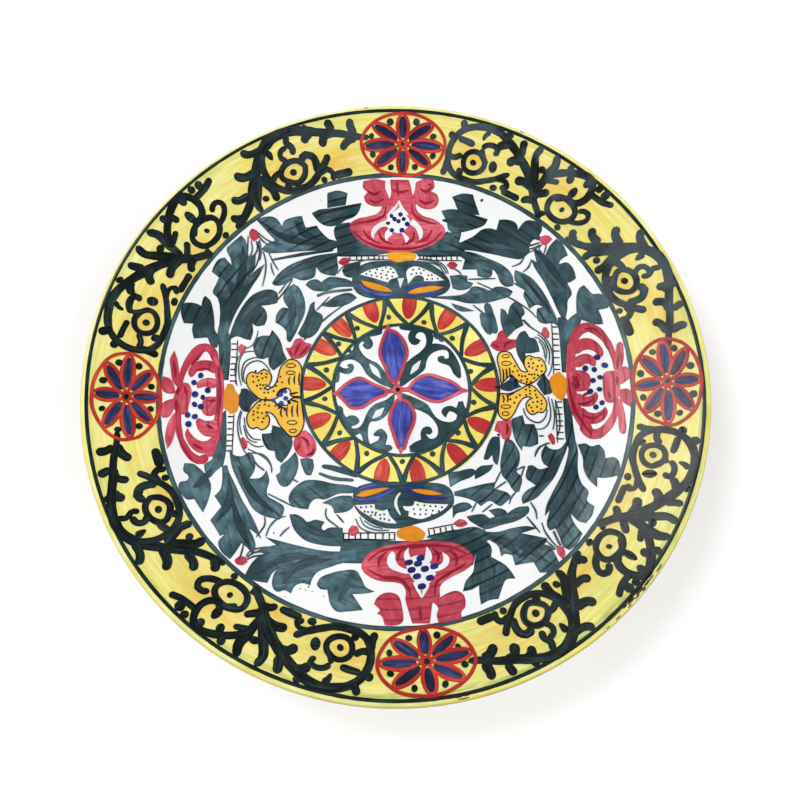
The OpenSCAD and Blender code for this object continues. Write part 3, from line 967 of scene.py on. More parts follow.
# Half of a red petal of the border, as (radius, degrees aside)
MEDAL_PETAL = ((36.6, 0.8), (38.6, 3.4), (42.6, 4.8), (47.9, 4.3))
MEDAL_DOTS = [(-3.5, 38.3), (14.2, 35.5), (28.3, 27), (37, 9.5), (38.2, -6.5), (30.3, -22), (17.8, -32.5),
              (3.2, -36.3), (-14, -32.3), (-27.2, -22), (-34.8, -4.7), (-34.3, 10.2), (-28.5, 24),
              (-19.3, 32.3)]


def on_circle(ring, degrees):
    """A place on a circle given as (x, y, radius)."""
    x, y, r = ring
    return x + r * math.cos(math.radians(degrees)), y + r * math.sin(math.radians(degrees))


def make_medallion_border():
    """Yellow ring with red petals, and green lines that meet in a point between each two."""
    wash = Coat("medallion_yellow_wash", 0.05)
    for a in range(0, 360, 12):
        wash.stroke([on_circle((*MEDAL_IN[:2], 41.0), a + t) for t in (0, 7.5, 15)], 15.4, blunt=True)
    wash.finish(LEMON, "medallion_yellow", "medallion_wash")
    lines = Coat("medallion_green_lines", 0.22)
    for x, y, r in (MEDAL_OUT, MEDAL_IN):
        lines.stroke(wavering(x, y, r, 0.7), 1.7, closed=True)
    petals = Coat("medallion_red_petals", 0.16)
    for k, a in enumerate(MEDAL_PETALS):
        dot_x, dot_y = MEDAL_DOTS[k]
        apex = math.degrees(math.atan2(dot_y - MEDAL_OUT[1], dot_x - MEDAL_OUT[0]))
        before = on_circle(MEDAL_IN, MEDAL_PETALS[k - 1])
        tip = on_circle((*MEDAL_OUT[:2], MEDAL_OUT[2] - 0.4), apex)
        for foot in (before, on_circle(MEDAL_IN, a)):
            bow = [(0.5 * (foot[i] + tip[i]) * 0.84 + 0.16 * (dot_x, dot_y)[i]) for i in range(2)]
            lines.stroke([foot, bow, tip], 1.8, 2.1, 2.8)
        petals.shape([on_circle((*MEDAL_OUT[:2], r), a + t * side) for side in (1, -1)
                      for r, t in MEDAL_PETAL[::side]], grain=a)
        lines.dot(dot_x, dot_y, 2.8)
    petals.finish(RED_WASH, "red_line", "medallion_petals")
    lines.finish(WELL_GREEN, "green_line", "medallion_lines")


# The four blue kites, each with the short pink stroke at its tip
KITES = [
    [(-4, 31.2), (0, 29.5), (5, 20.5), (3, 12), (0.3, 4.5), (-1.5, 5), (-4.5, 12), (-7.2, 19),
     (-5.8, 26)],
    [(6.5, 0), (11, 5), (16, 7), (22, 5.5), (28, 3), (32.5, -0.3), (26, -3.5), (21, -5.5), (16, -4.5),
     (10, -1.5)],
    [(1, -6), (5, -6.5), (8.5, -13), (8, -17), (5.5, -23), (3.5, -29.5), (2, -29.5), (-0.5, -22),
     (-2.3, -15), (-1, -10)],
    [(-28.5, -2), (-23, 3), (-18, 5.3), (-12, 2.5), (-5, -0.5), (-5, -2), (-11, -4.5), (-17, -8.5),
     (-21.5, -8.5), (-25, -5)],
]
KITE_TIPS = [((-4, 31), (-4, 34.6)), ((32, -0.4), (35.6, -0.5)), ((2.6, -29), (2.5, -32.4)),
             ((-28, -2), (-31.4, -2))]


def make_kites():
    """Blue kites in pink outlines that meet round a dark eye."""
    fill = Coat("medallion_blue_kites", 0.2)
    lines = Coat("medallion_kite_outlines", 0.3)
    for outline, tip in zip(KITES, KITE_TIPS):
        fill.shape(outline)
        lines.stroke(swollen(outline, 0.7), 1.6, closed=True)
        lines.stroke(tip, 2.6, 1.4)
    lines.strokes([[(1, 0), (7, 0)], [(1, 0), (-5.5, -1.2)], [(1.2, 0), (2.6, -6)], [(1, 0), (-0.6, 5)]],
                  2.8, 2.0)
    lines.shape(circle(0.8, -0.2, 2.8, 0.85, 20, 10))
    fill.finish(BLUE, "kite_blue", "medallion_kites")
    lines.finish(KITE_PINK, "rose_red")
    eye = Coat("medallion_eye", 0.42)
    eye.dot(1, 0, 2.4)
    eye.finish(INK, "ink")


SCROLLS = [
    # North east: a stem that curls in at the top and one that hooks down at the right
    [(1.4, 1.2), (2.6, 7), (4.3, 12.6), (8, 16.6), (12, 19.6), (14.6, 22.6), (15.3, 26), (14.2, 29.5),
     (12.2, 30.3), (10.4, 29.2), (9.9, 27.4), (12.5, 26), (11.3, 24), (9, 23.4), (7, 24.8), (6.2, 28),
     (7.3, 31), (9.4, 33.6), (14, 33), (17.6, 30.8), (18.9, 27), (18.2, 24.2), (21, 24.2), (25, 23),
     (27.4, 21), (30, 17), (32, 12), (32.4, 6.4), (31.2, 5.8), (28.8, 8), (26.8, 12), (25.4, 13),
     (23.2, 13.6), (21, 15), (20.8, 16.8), (22.4, 17.8), (24.6, 17.2), (24, 16.2), (26.4, 16.6),
     (26.2, 19.6), (25, 20.7), (20, 20), (17, 18), (15.3, 14.6), (14.6, 11), (12, 8.2), (7, 4.6),
     (3.6, 2)],
    # North west
    [(-0.6, 0.2), (-7, 2.7), (-10.6, 4.9), (-14.1, 7.7), (-16.3, 11.3), (-18.4, 14.1), (-21.3, 15.6),
     (-24.1, 15.6), (-27, 14.3), (-27.9, 12.4), (-24.9, 11.1), (-23.1, 11.6), (-24.3, 12.7),
     (-22.7, 13.6), (-21.1, 13.1), (-20.7, 11.3), (-22, 8.8), (-24.1, 8.1), (-27.7, 9.1), (-27.7, 6.6),
     (-28.1, 4.1), (-29.9, 3.6), (-30.9, 5.6), (-30.6, 10.6), (-29.1, 14), (-27, 16.4), (-24.9, 18),
     (-22.2, 19.6), (-20.9, 22.7), (-20.4, 25.4), (-17.7, 28.6), (-14.1, 30.2), (-9.9, 30.9),
     (-6.6, 32.6), (-7, 29.5), (-9.9, 28.4), (-13.1, 27.7), (-12, 26.3), (-11.3, 24.1), (-12, 22.1),
     (-13.8, 21.1), (-15.2, 21.6), (-16.6, 23.3), (-15.6, 24.9), (-16.8, 25.2), (-18.1, 23.8),
     (-18.3, 22.4), (-17.4, 20.2), (-15.6, 17.7), (-12.7, 15.6), (-9.1, 13.8), (-6.3, 10.6), (-4.5, 7.7),
     (-3.4, 5.6), (0, 1.6)],
    # South west
    [(-0.4, -1.6), (-4.9, -5.2), (-9.9, -7.3), (-12.7, -9.8), (-14.5, -13), (-15.8, -16.4),
     (-17.2, -18.6), (-19.2, -19.7), (-21.4, -19.6), (-21.4, -18.6), (-19.2, -17.9), (-17.7, -16.3),
     (-18.1, -14.8), (-19.9, -13.3), (-22.4, -13.2), (-24.1, -14.1), (-25.4, -12.3), (-25.9, -9.4),
     (-27.7, -8.1), (-30.2, -8.6), (-31, -11), (-28.4, -15), (-25, -20), (-20.4, -23.8), (-17.4, -22.2),
     (-16.4, -23.4), (-15.8, -26.6), (-13.4, -29.2), (-11.3, -30.5), (-8.4, -32), (-5.6, -31.8),
     (-2, -30.5), (-1.5, -29.4), (-2.7, -28), (-4.9, -28), (-4.5, -26.2), (-4, -23.7), (-5.2, -21.2),
     (-7, -19.9), (-9.5, -21), (-10.9, -22.6), (-10.4, -23.5), (-7.8, -23.6), (-8.4, -25.5),
     (-10.2, -26.6), (-12.2, -27.6), (-12.8, -26.6), (-13.5, -22.3), (-13.2, -18.6), (-12, -16.3),
     (-9.9, -16.2), (-7, -15.1), (-4.5, -13), (-2.7, -10.1), (-0.6, -5)],
    # South east
    [(2, -1.4), (5.9, -2.6), (9.4, -4.1), (13, -5.9), (15.9, -8), (18, -11.6), (20.1, -14.4),
     (23.7, -16.2), (27.3, -16.4), (29.4, -15.1), (30, -13), (28.4, -11.6), (26.3, -11), (25.3, -12.4),
     (24.5, -14.3), (22.8, -12.6), (22.5, -10.5), (24.4, -8.7), (27.3, -8.3), (29.6, -9.3), (30.4, -7.4),
     (30.6, -6.2), (33, -5.8), (33.8, -8.6), (35.2, -11), (34.6, -14), (32.6, -17.8), (30, -20.4),
     (27.4, -22), (25.6, -24.4), (22.6, -27.2), (18, -29.8), (12, -31.6), (7, -31.6), (6.5, -28.7),
     (9.4, -26.6), (12.3, -25.3), (12.1, -22), (13, -19.8), (15.1, -18.7), (17.3, -19.4), (17.9, -21.6),
     (16.4, -22.9), (14.8, -22.4), (15.5, -23.9), (17.2, -25), (19.4, -24.3), (20.5, -22.3),
     (20.2, -18.7), (18.7, -15.9), (15.9, -13), (12.3, -10.9), (8.7, -9.4), (5.9, -6.6), (2.4, -3)],
]
SCROLL_DABS = [[(1.8, 33), (5, 32.6), (8.5, 32.4)], [(19, 29.5), (21.5, 26.8)],
               [(-24, 19.6), (-22.4, 21.2)], [(19, 30.4), (24, 25.4)]]
SLITS = [[(7.2, 8), (12.4, 15.2)], [(-13, 13.6), (-7.3, 5.8)], [(-11.4, -14.8), (-5.6, -9.2)]]


def make_scrolls():
    """Green scrolls between the kites, with white slits."""
    scrolls = Coat("medallion_scroll_strokes", 0.08)
    for outline in SCROLLS:
        scrolls.shape(outline)
    scrolls.strokes(SCROLL_DABS, 2.2, 2.8)
    scrolls.finish(LEAF_GREEN, "leaf_green", "medallion_scrolls")
    slits = Coat("medallion_slits", 0.19)
    slits.strokes(SLITS, 0.6, 3.2, 0.6)
    slits.finish(WHITE_PAINT, "white_glaze")


# ---- Acanthus leaves in the corners of the well --------------------------------------------------

# Every leaf is one outline; a corner's leaves go from the lip inwards
LEAVES_NE = [
    [(29.3, 104), (35, 105.3), (40, 104.5), (41.5, 100), (43.5, 94), (38, 95), (33, 96.5), (30.5, 101.5)],
    [(23.6, 97), (28, 97.8), (33, 97.2), (43, 93.5), (47.7, 91.8), (46, 89), (41, 87), (35, 85.5),
     (31, 85.3), (27.5, 86.5), (26.5, 91)],
    [(20, 76.5), (23, 80), (27, 85), (34, 85.5), (33, 81), (31, 78.5)],
    [(32, 79), (36, 81), (40, 83), (45, 86.7), (49, 87), (52, 86), (53.5, 91.2), (57, 91), (61.5, 89.3),
     (63, 86), (62.3, 84.7), (67, 89.5), (71, 89), (74.5, 87), (75, 84.5), (73, 81), (70.5, 79.5),
     (68.5, 77), (69, 73.5), (64, 70), (60, 70.5), (50, 73), (40, 75), (33, 76.5)],
    [(34, 75), (40, 74), (48, 70.5), (54, 67.5), (58, 64), (60, 59.5), (59.8, 55.5), (56, 55), (53.5, 57),
     (52, 61), (50.5, 64), (48.5, 66.7), (49.5, 63), (48.5, 60.5), (45, 60), (41.8, 61), (41.5, 64.5),
     (34, 64.5), (35.5, 70), (33, 72)],
    [(27.5, 61), (33, 61.5), (36.7, 61), (36.5, 58), (39.5, 57), (38, 54.5), (33, 53), (29, 54)],
    [(18, 49.5), (28, 50), (33, 50.5), (37, 52.5), (39, 55), (44, 54.5), (48, 53), (50.5, 54.8),
     (56, 54.5), (59.5, 52.5), (58, 50), (53, 48), (45, 46), (36, 46), (30, 47.5), (18, 48.8)],
    [(28, 46), (34, 44), (40, 41.7), (33, 41.5), (30, 43)],
    [(53, 43), (55, 42.3), (56.5, 39.5), (58, 44.5), (61, 47.5), (64, 44), (65, 40), (63.5, 38.5),
     (64.3, 34), (60, 31.5), (57.5, 29), (55.5, 27), (54, 31), (52.8, 36)],
    [(60, 25), (61, 28), (63, 30.5), (65, 31), (66.2, 29), (67, 27.5), (69.5, 27), (71, 24), (71.8, 20),
     (67, 19), (64.5, 19), (64.8, 15), (63.5, 12.5), (60.5, 19)],
    [(60.5, 60), (61, 64.3), (66, 62), (70, 59), (73, 55), (76, 50), (79, 43), (81, 38), (82, 33),
     (79, 35), (75, 34.8), (72, 36), (71, 40), (71.5, 43), (74.5, 44), (71, 45), (68.5, 43.5),
     (67.5, 42.8), (66, 47), (64.8, 50), (65.5, 53), (62, 56)],
    [(84.5, 36), (82, 41), (79, 49), (75, 58), (71, 65), (69, 70), (72, 68), (70.5, 75.5), (73, 74),
     (76.5, 71.5), (78.5, 75.5), (82, 79), (85, 76), (87.5, 70), (84, 68), (83, 66), (87, 66.5), (90, 63),
     (91.3, 58), (89, 56.5), (87, 56), (89, 50), (87, 47), (86.5, 42), (85.5, 38)],
    [(91, 46), (91.5, 50), (93, 53), (95, 54), (97, 51.5), (99, 49), (102, 48.8), (105, 47), (106.5, 43),
     (106, 41), (101.5, 40.5), (103, 36), (103.5, 33), (99, 33.5), (95, 35.5), (91, 37)],
    [(84, 27), (85, 34), (88, 38), (91, 40), (93, 36), (91, 32), (88, 28), (87, 24)],
]
BLADES_NE = [([(50, 29.5), (46, 46)], (3.4, 4.6, 3.4)), ([(47.5, 29), (43.5, 41)], (3.6, 5.2, 3.6))]
VEINS_NE = [[(53, 89), (61, 83), (70, 76.5)], [(66, 87), (71, 82), (75.5, 78.5)],
            [(71, 75), (77, 68), (82, 60), (86, 53)], [(40, 80), (50, 78), (62, 75)],
            [(40, 70), (49, 67), (56, 60)], [(64, 62), (72, 52), (78, 40)],
            [(24, 92), (34, 91), (42, 90)]]
HAIRS_NE = [
    [(74, 78), (70, 77), (66, 76)], [(74, 77), (70.5, 75.3), (67, 75.2)],
    [(73.5, 76.5), (71, 74.5), (69, 73.3)],
    [(75, 77), (73, 75), (75, 72.5)], [(77, 76.5), (76.5, 74), (75.5, 71.5)],
    [(66, 71.5), (64, 68), (59.5, 66)], [(69.5, 69), (67.5, 65), (65, 63)], [(60, 57), (65, 54)],
    [(28, 66), (33, 62.5), (33.5, 60)],
    [(41.5, 57.3), (50, 53), (57.5, 49), (63, 45.5), (68, 41.5), (71, 38)],
    [(63.5, 37), (67, 33.5), (72, 30)], [(37, 59), (51, 59.5)], [(39, 45), (47, 38)],
]

LEAVES_NW = [
    [(-35.5, 105.5), (-30, 107), (-25, 106), (-26, 100), (-31, 99), (-35.5, 98)],
    [(-43.5, 95), (-40, 97), (-34, 98), (-27, 99.5), (-17.8, 101.3), (-19, 97), (-21.5, 94), (-26, 92),
     (-29, 90), (-34, 88.5), (-38, 89.5), (-41, 92)],
    [(-32, 86), (-31, 89), (-24, 91), (-20, 84), (-15, 79), (-20, 76), (-26, 76.5), (-30, 80)],
    [(-69, 75), (-66, 78), (-62, 80), (-66, 84), (-71.5, 89.5), (-67, 91.5), (-62, 91.5), (-58.5, 87.5),
     (-57.7, 90), (-53, 92.5), (-48.5, 93.5), (-47.5, 90), (-46.5, 87.5), (-41, 88.8), (-38, 85),
     (-34, 81.5), (-30.5, 80.5), (-28.5, 78), (-33, 75.5), (-45, 75), (-60, 73.5), (-66, 73.3)],
    [(-30, 74), (-40, 72.5), (-48, 70), (-55, 66.5), (-60, 62), (-63, 57), (-62, 55.8), (-55, 57),
     (-52, 60), (-48, 58.5), (-44, 59), (-41.5, 60.5), (-40.7, 65.8), (-38.5, 63), (-35, 61.5), (-31, 61),
     (-29.5, 64), (-30, 70)],
    [(-46, 56), (-44, 58.3), (-40, 59), (-38, 57.5), (-34, 60.3), (-30, 60.3), (-22, 57.5), (-21, 55),
     (-30, 54.5), (-36, 52.5), (-42, 53)],
    [(-27.5, 64), (-25, 67.5), (-18, 68.5), (-18, 61), (-23, 60), (-26, 61)],
    [(-38, 44.5), (-35, 46.5), (-30, 50), (-23, 51.5), (-19.5, 49), (-24, 45.5), (-32, 43.8)],
    [(-57, 49), (-55, 54), (-52, 56.5), (-49.5, 55), (-47, 50.5), (-45.7, 45), (-46, 40), (-48, 35),
     (-50, 30), (-52.5, 25), (-54, 25.5), (-55, 31), (-58, 34), (-60.5, 35.5), (-60, 40), (-57, 43.5),
     (-54, 43), (-56, 46)],
    [(-43, 45.5), (-41, 47), (-40.5, 42), (-37, 39.5), (-37.2, 35), (-42.5, 27.5), (-47, 27.5),
     (-49, 29.5), (-46, 36), (-44, 42)],
    [(-84, 25), (-82, 33), (-79, 41), (-74, 49), (-70, 52), (-64, 53.5), (-60.5, 52), (-59.5, 49),
     (-60, 46), (-64, 45), (-68, 44.5), (-66, 42.5), (-64.7, 38), (-66, 34), (-70, 33.5), (-72, 35),
     (-71.5, 30), (-72.5, 26), (-75, 26.5), (-80, 28)],
    [(-70.5, 20), (-71, 25), (-68, 28), (-63, 28.5), (-62, 31.5), (-59, 28), (-57, 24), (-56, 20),
     (-54, 16), (-57.5, 12.5), (-60.5, 10), (-62.5, 12), (-63.5, 17), (-66, 16), (-69, 17)],
    [(-86, 23), (-84, 30), (-82, 37), (-79, 44), (-75.5, 50), (-73, 55), (-69.5, 61), (-67, 67.3),
     (-70, 65), (-74, 61), (-72, 66), (-71.5, 73), (-75, 70), (-76, 75), (-77, 79), (-79, 81), (-84, 76),
     (-86, 73.5), (-84, 68.5), (-83.5, 65.5), (-87, 69), (-90, 67.5), (-92, 64), (-93, 61), (-89.5, 58.5),
     (-91, 54.5), (-92.3, 50.5), (-90, 48), (-88.5, 42), (-88.5, 35), (-89, 28)],
    [(-107, 43), (-104, 44), (-100, 44), (-97.5, 43), (-97, 46.5), (-96, 48.5), (-93.5, 46.5), (-92, 42),
     (-91, 36), (-90.5, 31), (-88, 27), (-89, 22), (-91, 22), (-94, 27), (-100.5, 26), (-101.5, 31),
     (-101, 33.5), (-105.5, 33.3), (-107, 38)],
]
BLADES_NW = [([(-63, 69.7), (-48, 73), (-32, 75.3)], (1.0, 2.0, 1.0)),
             ([(-40, 49.8), (-36, 51.5), (-22, 53.5)], (1.5,))]
VEINS_NW = [[(-68, 88), (-60, 83), (-50, 80), (-36, 79)], [(-52, 91), (-48, 85), (-38, 81)],
            [(-58, 60), (-48, 66), (-34, 71)], [(-62, 50), (-72, 45), (-79, 34)],
            [(-78, 76), (-78, 62), (-84, 45)], [(-90, 62), (-82, 52), (-84, 38)],
            [(-40, 94), (-32, 95), (-23, 98)], [(-52, 50), (-52, 40), (-53, 30)]]
HAIRS_NW = [
    [(-75.5, 81), (-75.8, 74), (-76.3, 68)], [(-74, 79), (-73.4, 74), (-74.8, 70), (-76.5, 66)],
    [(-71.5, 79), (-70.8, 75), (-72.5, 71), (-74.5, 66)],
    [(-70.5, 79), (-69.8, 72), (-71.2, 66.5), (-73.5, 62)],
    [(-70, 80), (-69, 74), (-69.5, 69)], [(-71, 83.5), (-67, 80.5), (-64, 79), (-58, 78)],
    [(-70.5, 82), (-68, 79), (-65.5, 77.5)], [(-68, 74), (-66.6, 69), (-66.5, 63), (-67.8, 55)],
    [(-65, 73), (-62.5, 68), (-60, 64)], [(-64, 68), (-63.3, 64.5), (-62, 61)],
    [(-60, 47.5), (-56, 53), (-52.5, 59)], [(-59.5, 51), (-55.5, 57)],
    [(-46, 26), (-36, 37), (-25, 46)], [(-40, 42), (-33.5, 49.5)],
]

LEAVES_SW = [
    [(-101, -38), (-97, -38), (-94, -40), (-90, -44), (-88, -48), (-88.5, -55), (-90.5, -62),
     (-93, -58.5), (-95, -55.5), (-98, -56), (-100, -54.5), (-102.5, -50), (-102, -47.5), (-99, -46.5),
     (-98.5, -44.5), (-101, -42)],
    [(-92, -38), (-88, -35), (-85, -30), (-83, -35), (-84, -39), (-86, -41), (-88.5, -44.5), (-91, -42)],
    [(-81, -38), (-83.5, -38.5), (-83, -45), (-83.5, -50), (-86, -53.5), (-82.5, -58.5), (-87, -65.5),
     (-84.5, -69), (-82, -73), (-80, -72), (-82.5, -76), (-81, -80), (-78, -83), (-76.5, -84), (-74, -80),
     (-72, -76), (-69, -78.5), (-66.5, -81.5), (-65.5, -77), (-67, -72.5), (-69, -69), (-66, -71),
     (-63, -74), (-64.5, -70), (-68, -63), (-73, -55), (-77, -47), (-80.5, -40)],
    [(-80.5, -30), (-79, -38), (-76, -45), (-71, -54), (-68, -59), (-63, -62.5), (-55, -64.5),
     (-53.5, -62), (-53, -58.5), (-57, -55.5), (-61, -53), (-61.5, -50.5), (-60.5, -45.5), (-62, -40.5),
     (-64.5, -44), (-70, -44.7), (-68, -41), (-67.5, -37), (-69, -33), (-71, -31.5), (-74, -33.5),
     (-78, -33)],
    [(-65, -22.5), (-60.5, -22), (-60, -18), (-57, -19), (-53, -21), (-50.5, -24), (-50, -28), (-52, -33),
     (-55, -37), (-57.5, -35), (-58.5, -31), (-61.5, -30.5), (-64.5, -26)],
    [(-55.5, -38.5), (-52, -35.5), (-48.5, -31.5), (-47, -35), (-47, -40), (-49, -45), (-52, -48.5),
     (-55, -48), (-57.5, -43), (-55.5, -41.5)],
    [(-46, -35), (-43, -34.5), (-40, -35), (-39.3, -39), (-40.5, -43), (-42.5, -43), (-45, -39)],
    [(-51, -55), (-50, -51), (-46, -47), (-43, -45.5), (-37, -45.5), (-30, -47), (-22, -48), (-17, -49.5),
     (-20, -51.5), (-27, -52), (-34, -54.8), (-38, -54.5), (-40.5, -56.5), (-41.5, -59.5), (-46, -59),
     (-50, -57)],
    [(-35, -56.5), (-31, -54.5), (-26, -53), (-21, -53), (-20, -58), (-23, -60.5), (-29, -61.5),
     (-30.5, -58)],
    [(-50.5, -62), (-47, -62), (-43.5, -64), (-42, -65.5), (-38, -64.5), (-33.5, -65.5), (-35, -68.5),
     (-34, -70), (-32, -68.5), (-25, -68.3), (-24.5, -75), (-15, -75.5), (-25, -77), (-35, -76.5),
     (-43, -74), (-48, -69)],
    [(-61.5, -72.8), (-55, -74.5), (-45, -77), (-35, -79), (-27, -79.5), (-18, -78), (-18, -84),
     (-25, -85), (-31, -87), (-36, -89), (-38.5, -92), (-39.5, -95.5), (-43, -94.5), (-46.5, -96),
     (-48, -99.5), (-51, -98), (-54, -98.8), (-56.3, -97), (-56.5, -91), (-55, -88), (-57, -90),
     (-59, -94.7), (-64, -94), (-69.5, -92), (-67, -86), (-64, -82.5), (-60, -81), (-65, -80),
     (-63, -78.5), (-56, -76.5), (-59, -74.5)],
    [(-36.5, -95), (-35, -92), (-31, -90), (-25, -88.5), (-18.5, -88.5), (-16, -92), (-14, -96),
     (-9.8, -98.2), (-13, -99), (-20, -99.5), (-17.5, -103), (-15, -106.8), (-22, -107.5), (-27, -107.5),
     (-30, -104), (-31, -100), (-31.5, -97.5), (-35, -97)],
]
BLADES_SW = [([(-35.5, -38.5), (-30, -39.5), (-25, -41), (-18, -43.5)], (2.0, 3.0, 2.0)),
             ([(-37, -42), (-30, -44.5), (-20, -45.5)], (1.4, 2.0, 1.4))]
VEINS_SW = [[(-84, -66), (-79, -56), (-80, -44)], [(-68, -78), (-74, -66), (-78, -54)],
            [(-58, -61), (-68, -52), (-76, -38)], [(-64, -90), (-52, -83), (-36, -82)],
            [(-52, -95), (-46, -87), (-30, -83)], [(-48, -65), (-40, -69), (-28, -73)],
            [(-96, -50), (-92, -46), (-88, -40)], [(-26, -103), (-23, -95), (-20, -90)]]
HAIRS_SW = [
    [(-69.5, -82.5), (-68, -80), (-65, -78.6), (-60, -77.5)],
    [(-69, -83), (-67, -81), (-64, -80), (-59.5, -80)],
    [(-69, -84), (-66.5, -82.5), (-63, -81.8), (-58.5, -80.5)], [(-71, -76), (-71.5, -80), (-72.5, -84)],
    [(-62, -63), (-61.8, -67), (-63.5, -70), (-65.5, -73)],
    [(-61, -72.5), (-59.5, -68), (-56.5, -64.5), (-52, -62.7)],
    [(-54.5, -72.5), (-52.5, -70), (-50, -68)], [(-70, -32), (-64, -33), (-60, -38), (-59.5, -42)],
    [(-61, -52), (-55, -55), (-48, -58.5)], [(-67, -38), (-63, -40.5)], [(-50, -44.7), (-46.5, -46.5)],
    [(-33, -59), (-33, -63), (-28, -67.5), (-25, -70)], [(-28, -62), (-24.5, -66)],
]

LEAVES_SE = [
    [(25, -41.5), (30, -41), (34, -40), (37.5, -40), (39, -41.5), (36, -44), (31, -46), (26, -49)],
    [(38, -41.5), (41, -38.5), (45, -38), (47, -37.7), (46, -40), (42, -43), (38, -45)],
    [(28, -51), (35, -49), (42, -47.3), (48, -46.3), (47, -49.5), (50, -50.3), (54, -52), (55, -54),
     (52, -56.5), (50, -58), (47.5, -57), (45, -55.5), (40.5, -58), (38, -56), (33, -54), (28, -53)],
    [(27, -58), (31, -56.3), (35, -56.7), (36.5, -58.5), (33, -60.5), (29, -61.5), (27, -64)],
    [(33.5, -63), (38, -62), (42, -62), (45, -64), (47, -63), (44, -60), (46, -59.5), (49, -59),
     (52, -60), (53, -61.5), (55, -60), (58, -58.5), (63, -58), (63.5, -60), (61, -63), (56, -65.5),
     (50, -67), (42, -69), (38, -67), (35, -65)],
    [(14, -73), (20, -71), (30, -69), (38, -68), (42, -70), (44, -74), (40, -76)],
    [(40, -70), (48, -70.3), (55, -68.5), (62, -67.6), (67, -68.7), (59, -71), (64, -72), (71, -73.7),
     (69.5, -76.5), (72, -78), (75.5, -85.5), (73.5, -88), (70, -90), (66.3, -90), (64, -85), (60, -85.5),
     (55.5, -86.3), (54.5, -81.5), (51, -80.8), (49.3, -82), (48, -77), (44, -74)],
    [(36.8, -84), (40, -74), (43, -75), (45, -78), (44.5, -82), (47, -83.5), (51, -86), (54, -90),
     (55.3, -92.5), (51, -93), (49.5, -95.5), (48.5, -98), (47, -102), (43, -102.5), (39, -104.5),
     (38.5, -100), (38.5, -95.5), (35, -97.5), (31, -98.2), (32.5, -93.5), (36, -89)],
    [(47, -24), (50.5, -24), (50.5, -29), (50, -34), (49, -38), (47.5, -37), (46.5, -33), (44, -35.5),
     (42.3, -35), (43.5, -31), (45, -27)],
    [(53, -25.5), (56, -25.5), (58, -28), (59.8, -32), (59.5, -37), (58, -41), (60.5, -44), (59, -51),
     (57, -51), (53.5, -46), (51, -43), (50.3, -38), (51.3, -32)],
    [(56.5, -15), (59, -14), (62, -13), (63, -17.5), (67.5, -17.5), (69, -22), (69, -27.5), (65, -29),
     (61.5, -28.5), (61, -31), (58.5, -27), (57, -22)],
    [(72.5, -28), (75, -30), (79, -30), (82, -27), (84, -24), (83, -29), (80, -36), (76, -44), (71, -50),
     (67, -54), (60.5, -57), (60, -54), (62.5, -50.5), (67, -48), (65, -46.5), (62.5, -44.5),
     (63.5, -38.5), (65.5, -38), (69, -40), (73.5, -39), (71, -37), (70.3, -32)],
    [(84, -27), (83, -33), (80, -42), (75, -51), (71.5, -58), (70.5, -63), (73, -60), (71.3, -68),
     (72.5, -70), (75, -69), (76.5, -73), (78, -78), (80.5, -79.8), (84, -77), (87, -72), (85, -69),
     (83.5, -66), (82.5, -62), (86, -66), (89, -67), (92, -63.5), (93.5, -59), (90.5, -56), (91.5, -51.5),
     (89, -48), (87.5, -43), (87.5, -37), (88, -32), (87.5, -27)],
    [(88, -28), (92, -27.5), (94, -29), (98, -28.3), (100, -31), (100.5, -35.5), (104.5, -35.3),
     (106.5, -38.5), (105.5, -44.5), (100, -45.3), (96, -44.8), (95.5, -49.7), (92, -45.5), (90, -40),
     (90, -35), (89, -31)],
]
BLADES_SE = []
VEINS_SE = [[(82, -74), (77, -62), (82, -46)], [(86, -54), (81, -61.5), (76, -69)],
            [(71, -74.5), (64, -78), (57, -83)], [(90, -60), (84, -52), (84, -38)],
            [(66, -50), (74, -42), (79, -33)],
            [(70, -85), (60, -77), (48, -73)], [(58, -82), (52, -76), (44, -72)],
            [(60, -61), (50, -64), (40, -66)],
            [(98, -40), (94, -36), (91, -31)], [(44, -98), (44, -88), (41, -79)]]
HAIRS_SE = [
    [(75.5, -78.5), (72.5, -74.5), (70, -70), (69, -66)], [(74.5, -79), (72, -76.5), (70.5, -75)],
    [(74, -79.5), (71.5, -77.8), (70, -77)], [(76.5, -77.5), (75, -73.5), (73.8, -70.5)],
    [(77, -77.5), (75.5, -74), (74.3, -70)], [(64, -56), (66.3, -60), (66.8, -64.5)],
    [(62, -63), (65, -67), (68, -71)],
    [(58, -50.5), (55, -54), (54, -57)], [(50.5, -41), (47, -48)], [(53, -46), (47, -50)],
    [(60, -44), (62, -38.5), (57, -41)], [(38.5, -56), (36, -61)], [(46, -57), (41, -61)],
    [(67, -34), (70, -29), (75, -27)],
]

# Dark bands that tie the corners together behind the flowers
BAND_N = [
    [(-30, 71.8), (-12, 72.2), (-4, 73.5), (10, 73.5), (12, 72.3), (34, 72), (36, 76), (33, 80), (27, 86),
     (18, 82), (0, 80), (-20, 82), (-24, 88), (-31, 90)],
]
BAND_S = [
    [(-25, -73.5), (-12, -73.5), (0, -74.5), (14, -74), (30, -70), (42, -69), (44, -73), (38, -80),
     (36, -86), (24, -88), (4, -82), (-14, -85), (-24, -85), (-26, -79)],
]
BAND_E = [
    [(81.5, 38), (82, 24), (82.3, 9), (86, 9), (88, 22), (87.5, 34), (85, 39)],
    [(82, -4), (82.3, -14), (82.5, -26), (84, -31), (87.5, -30), (86.5, -18), (86, -5)],
]
BAND_W = [
    [(-82.5, 5), (-82.2, 16), (-82.5, 26), (-84, 31), (-88.5, 30), (-88, 18), (-86, 5)],
    [(-83, -10), (-82.2, -20), (-82, -32), (-83, -39), (-87, -39), (-89, -30), (-86, -14)],
]


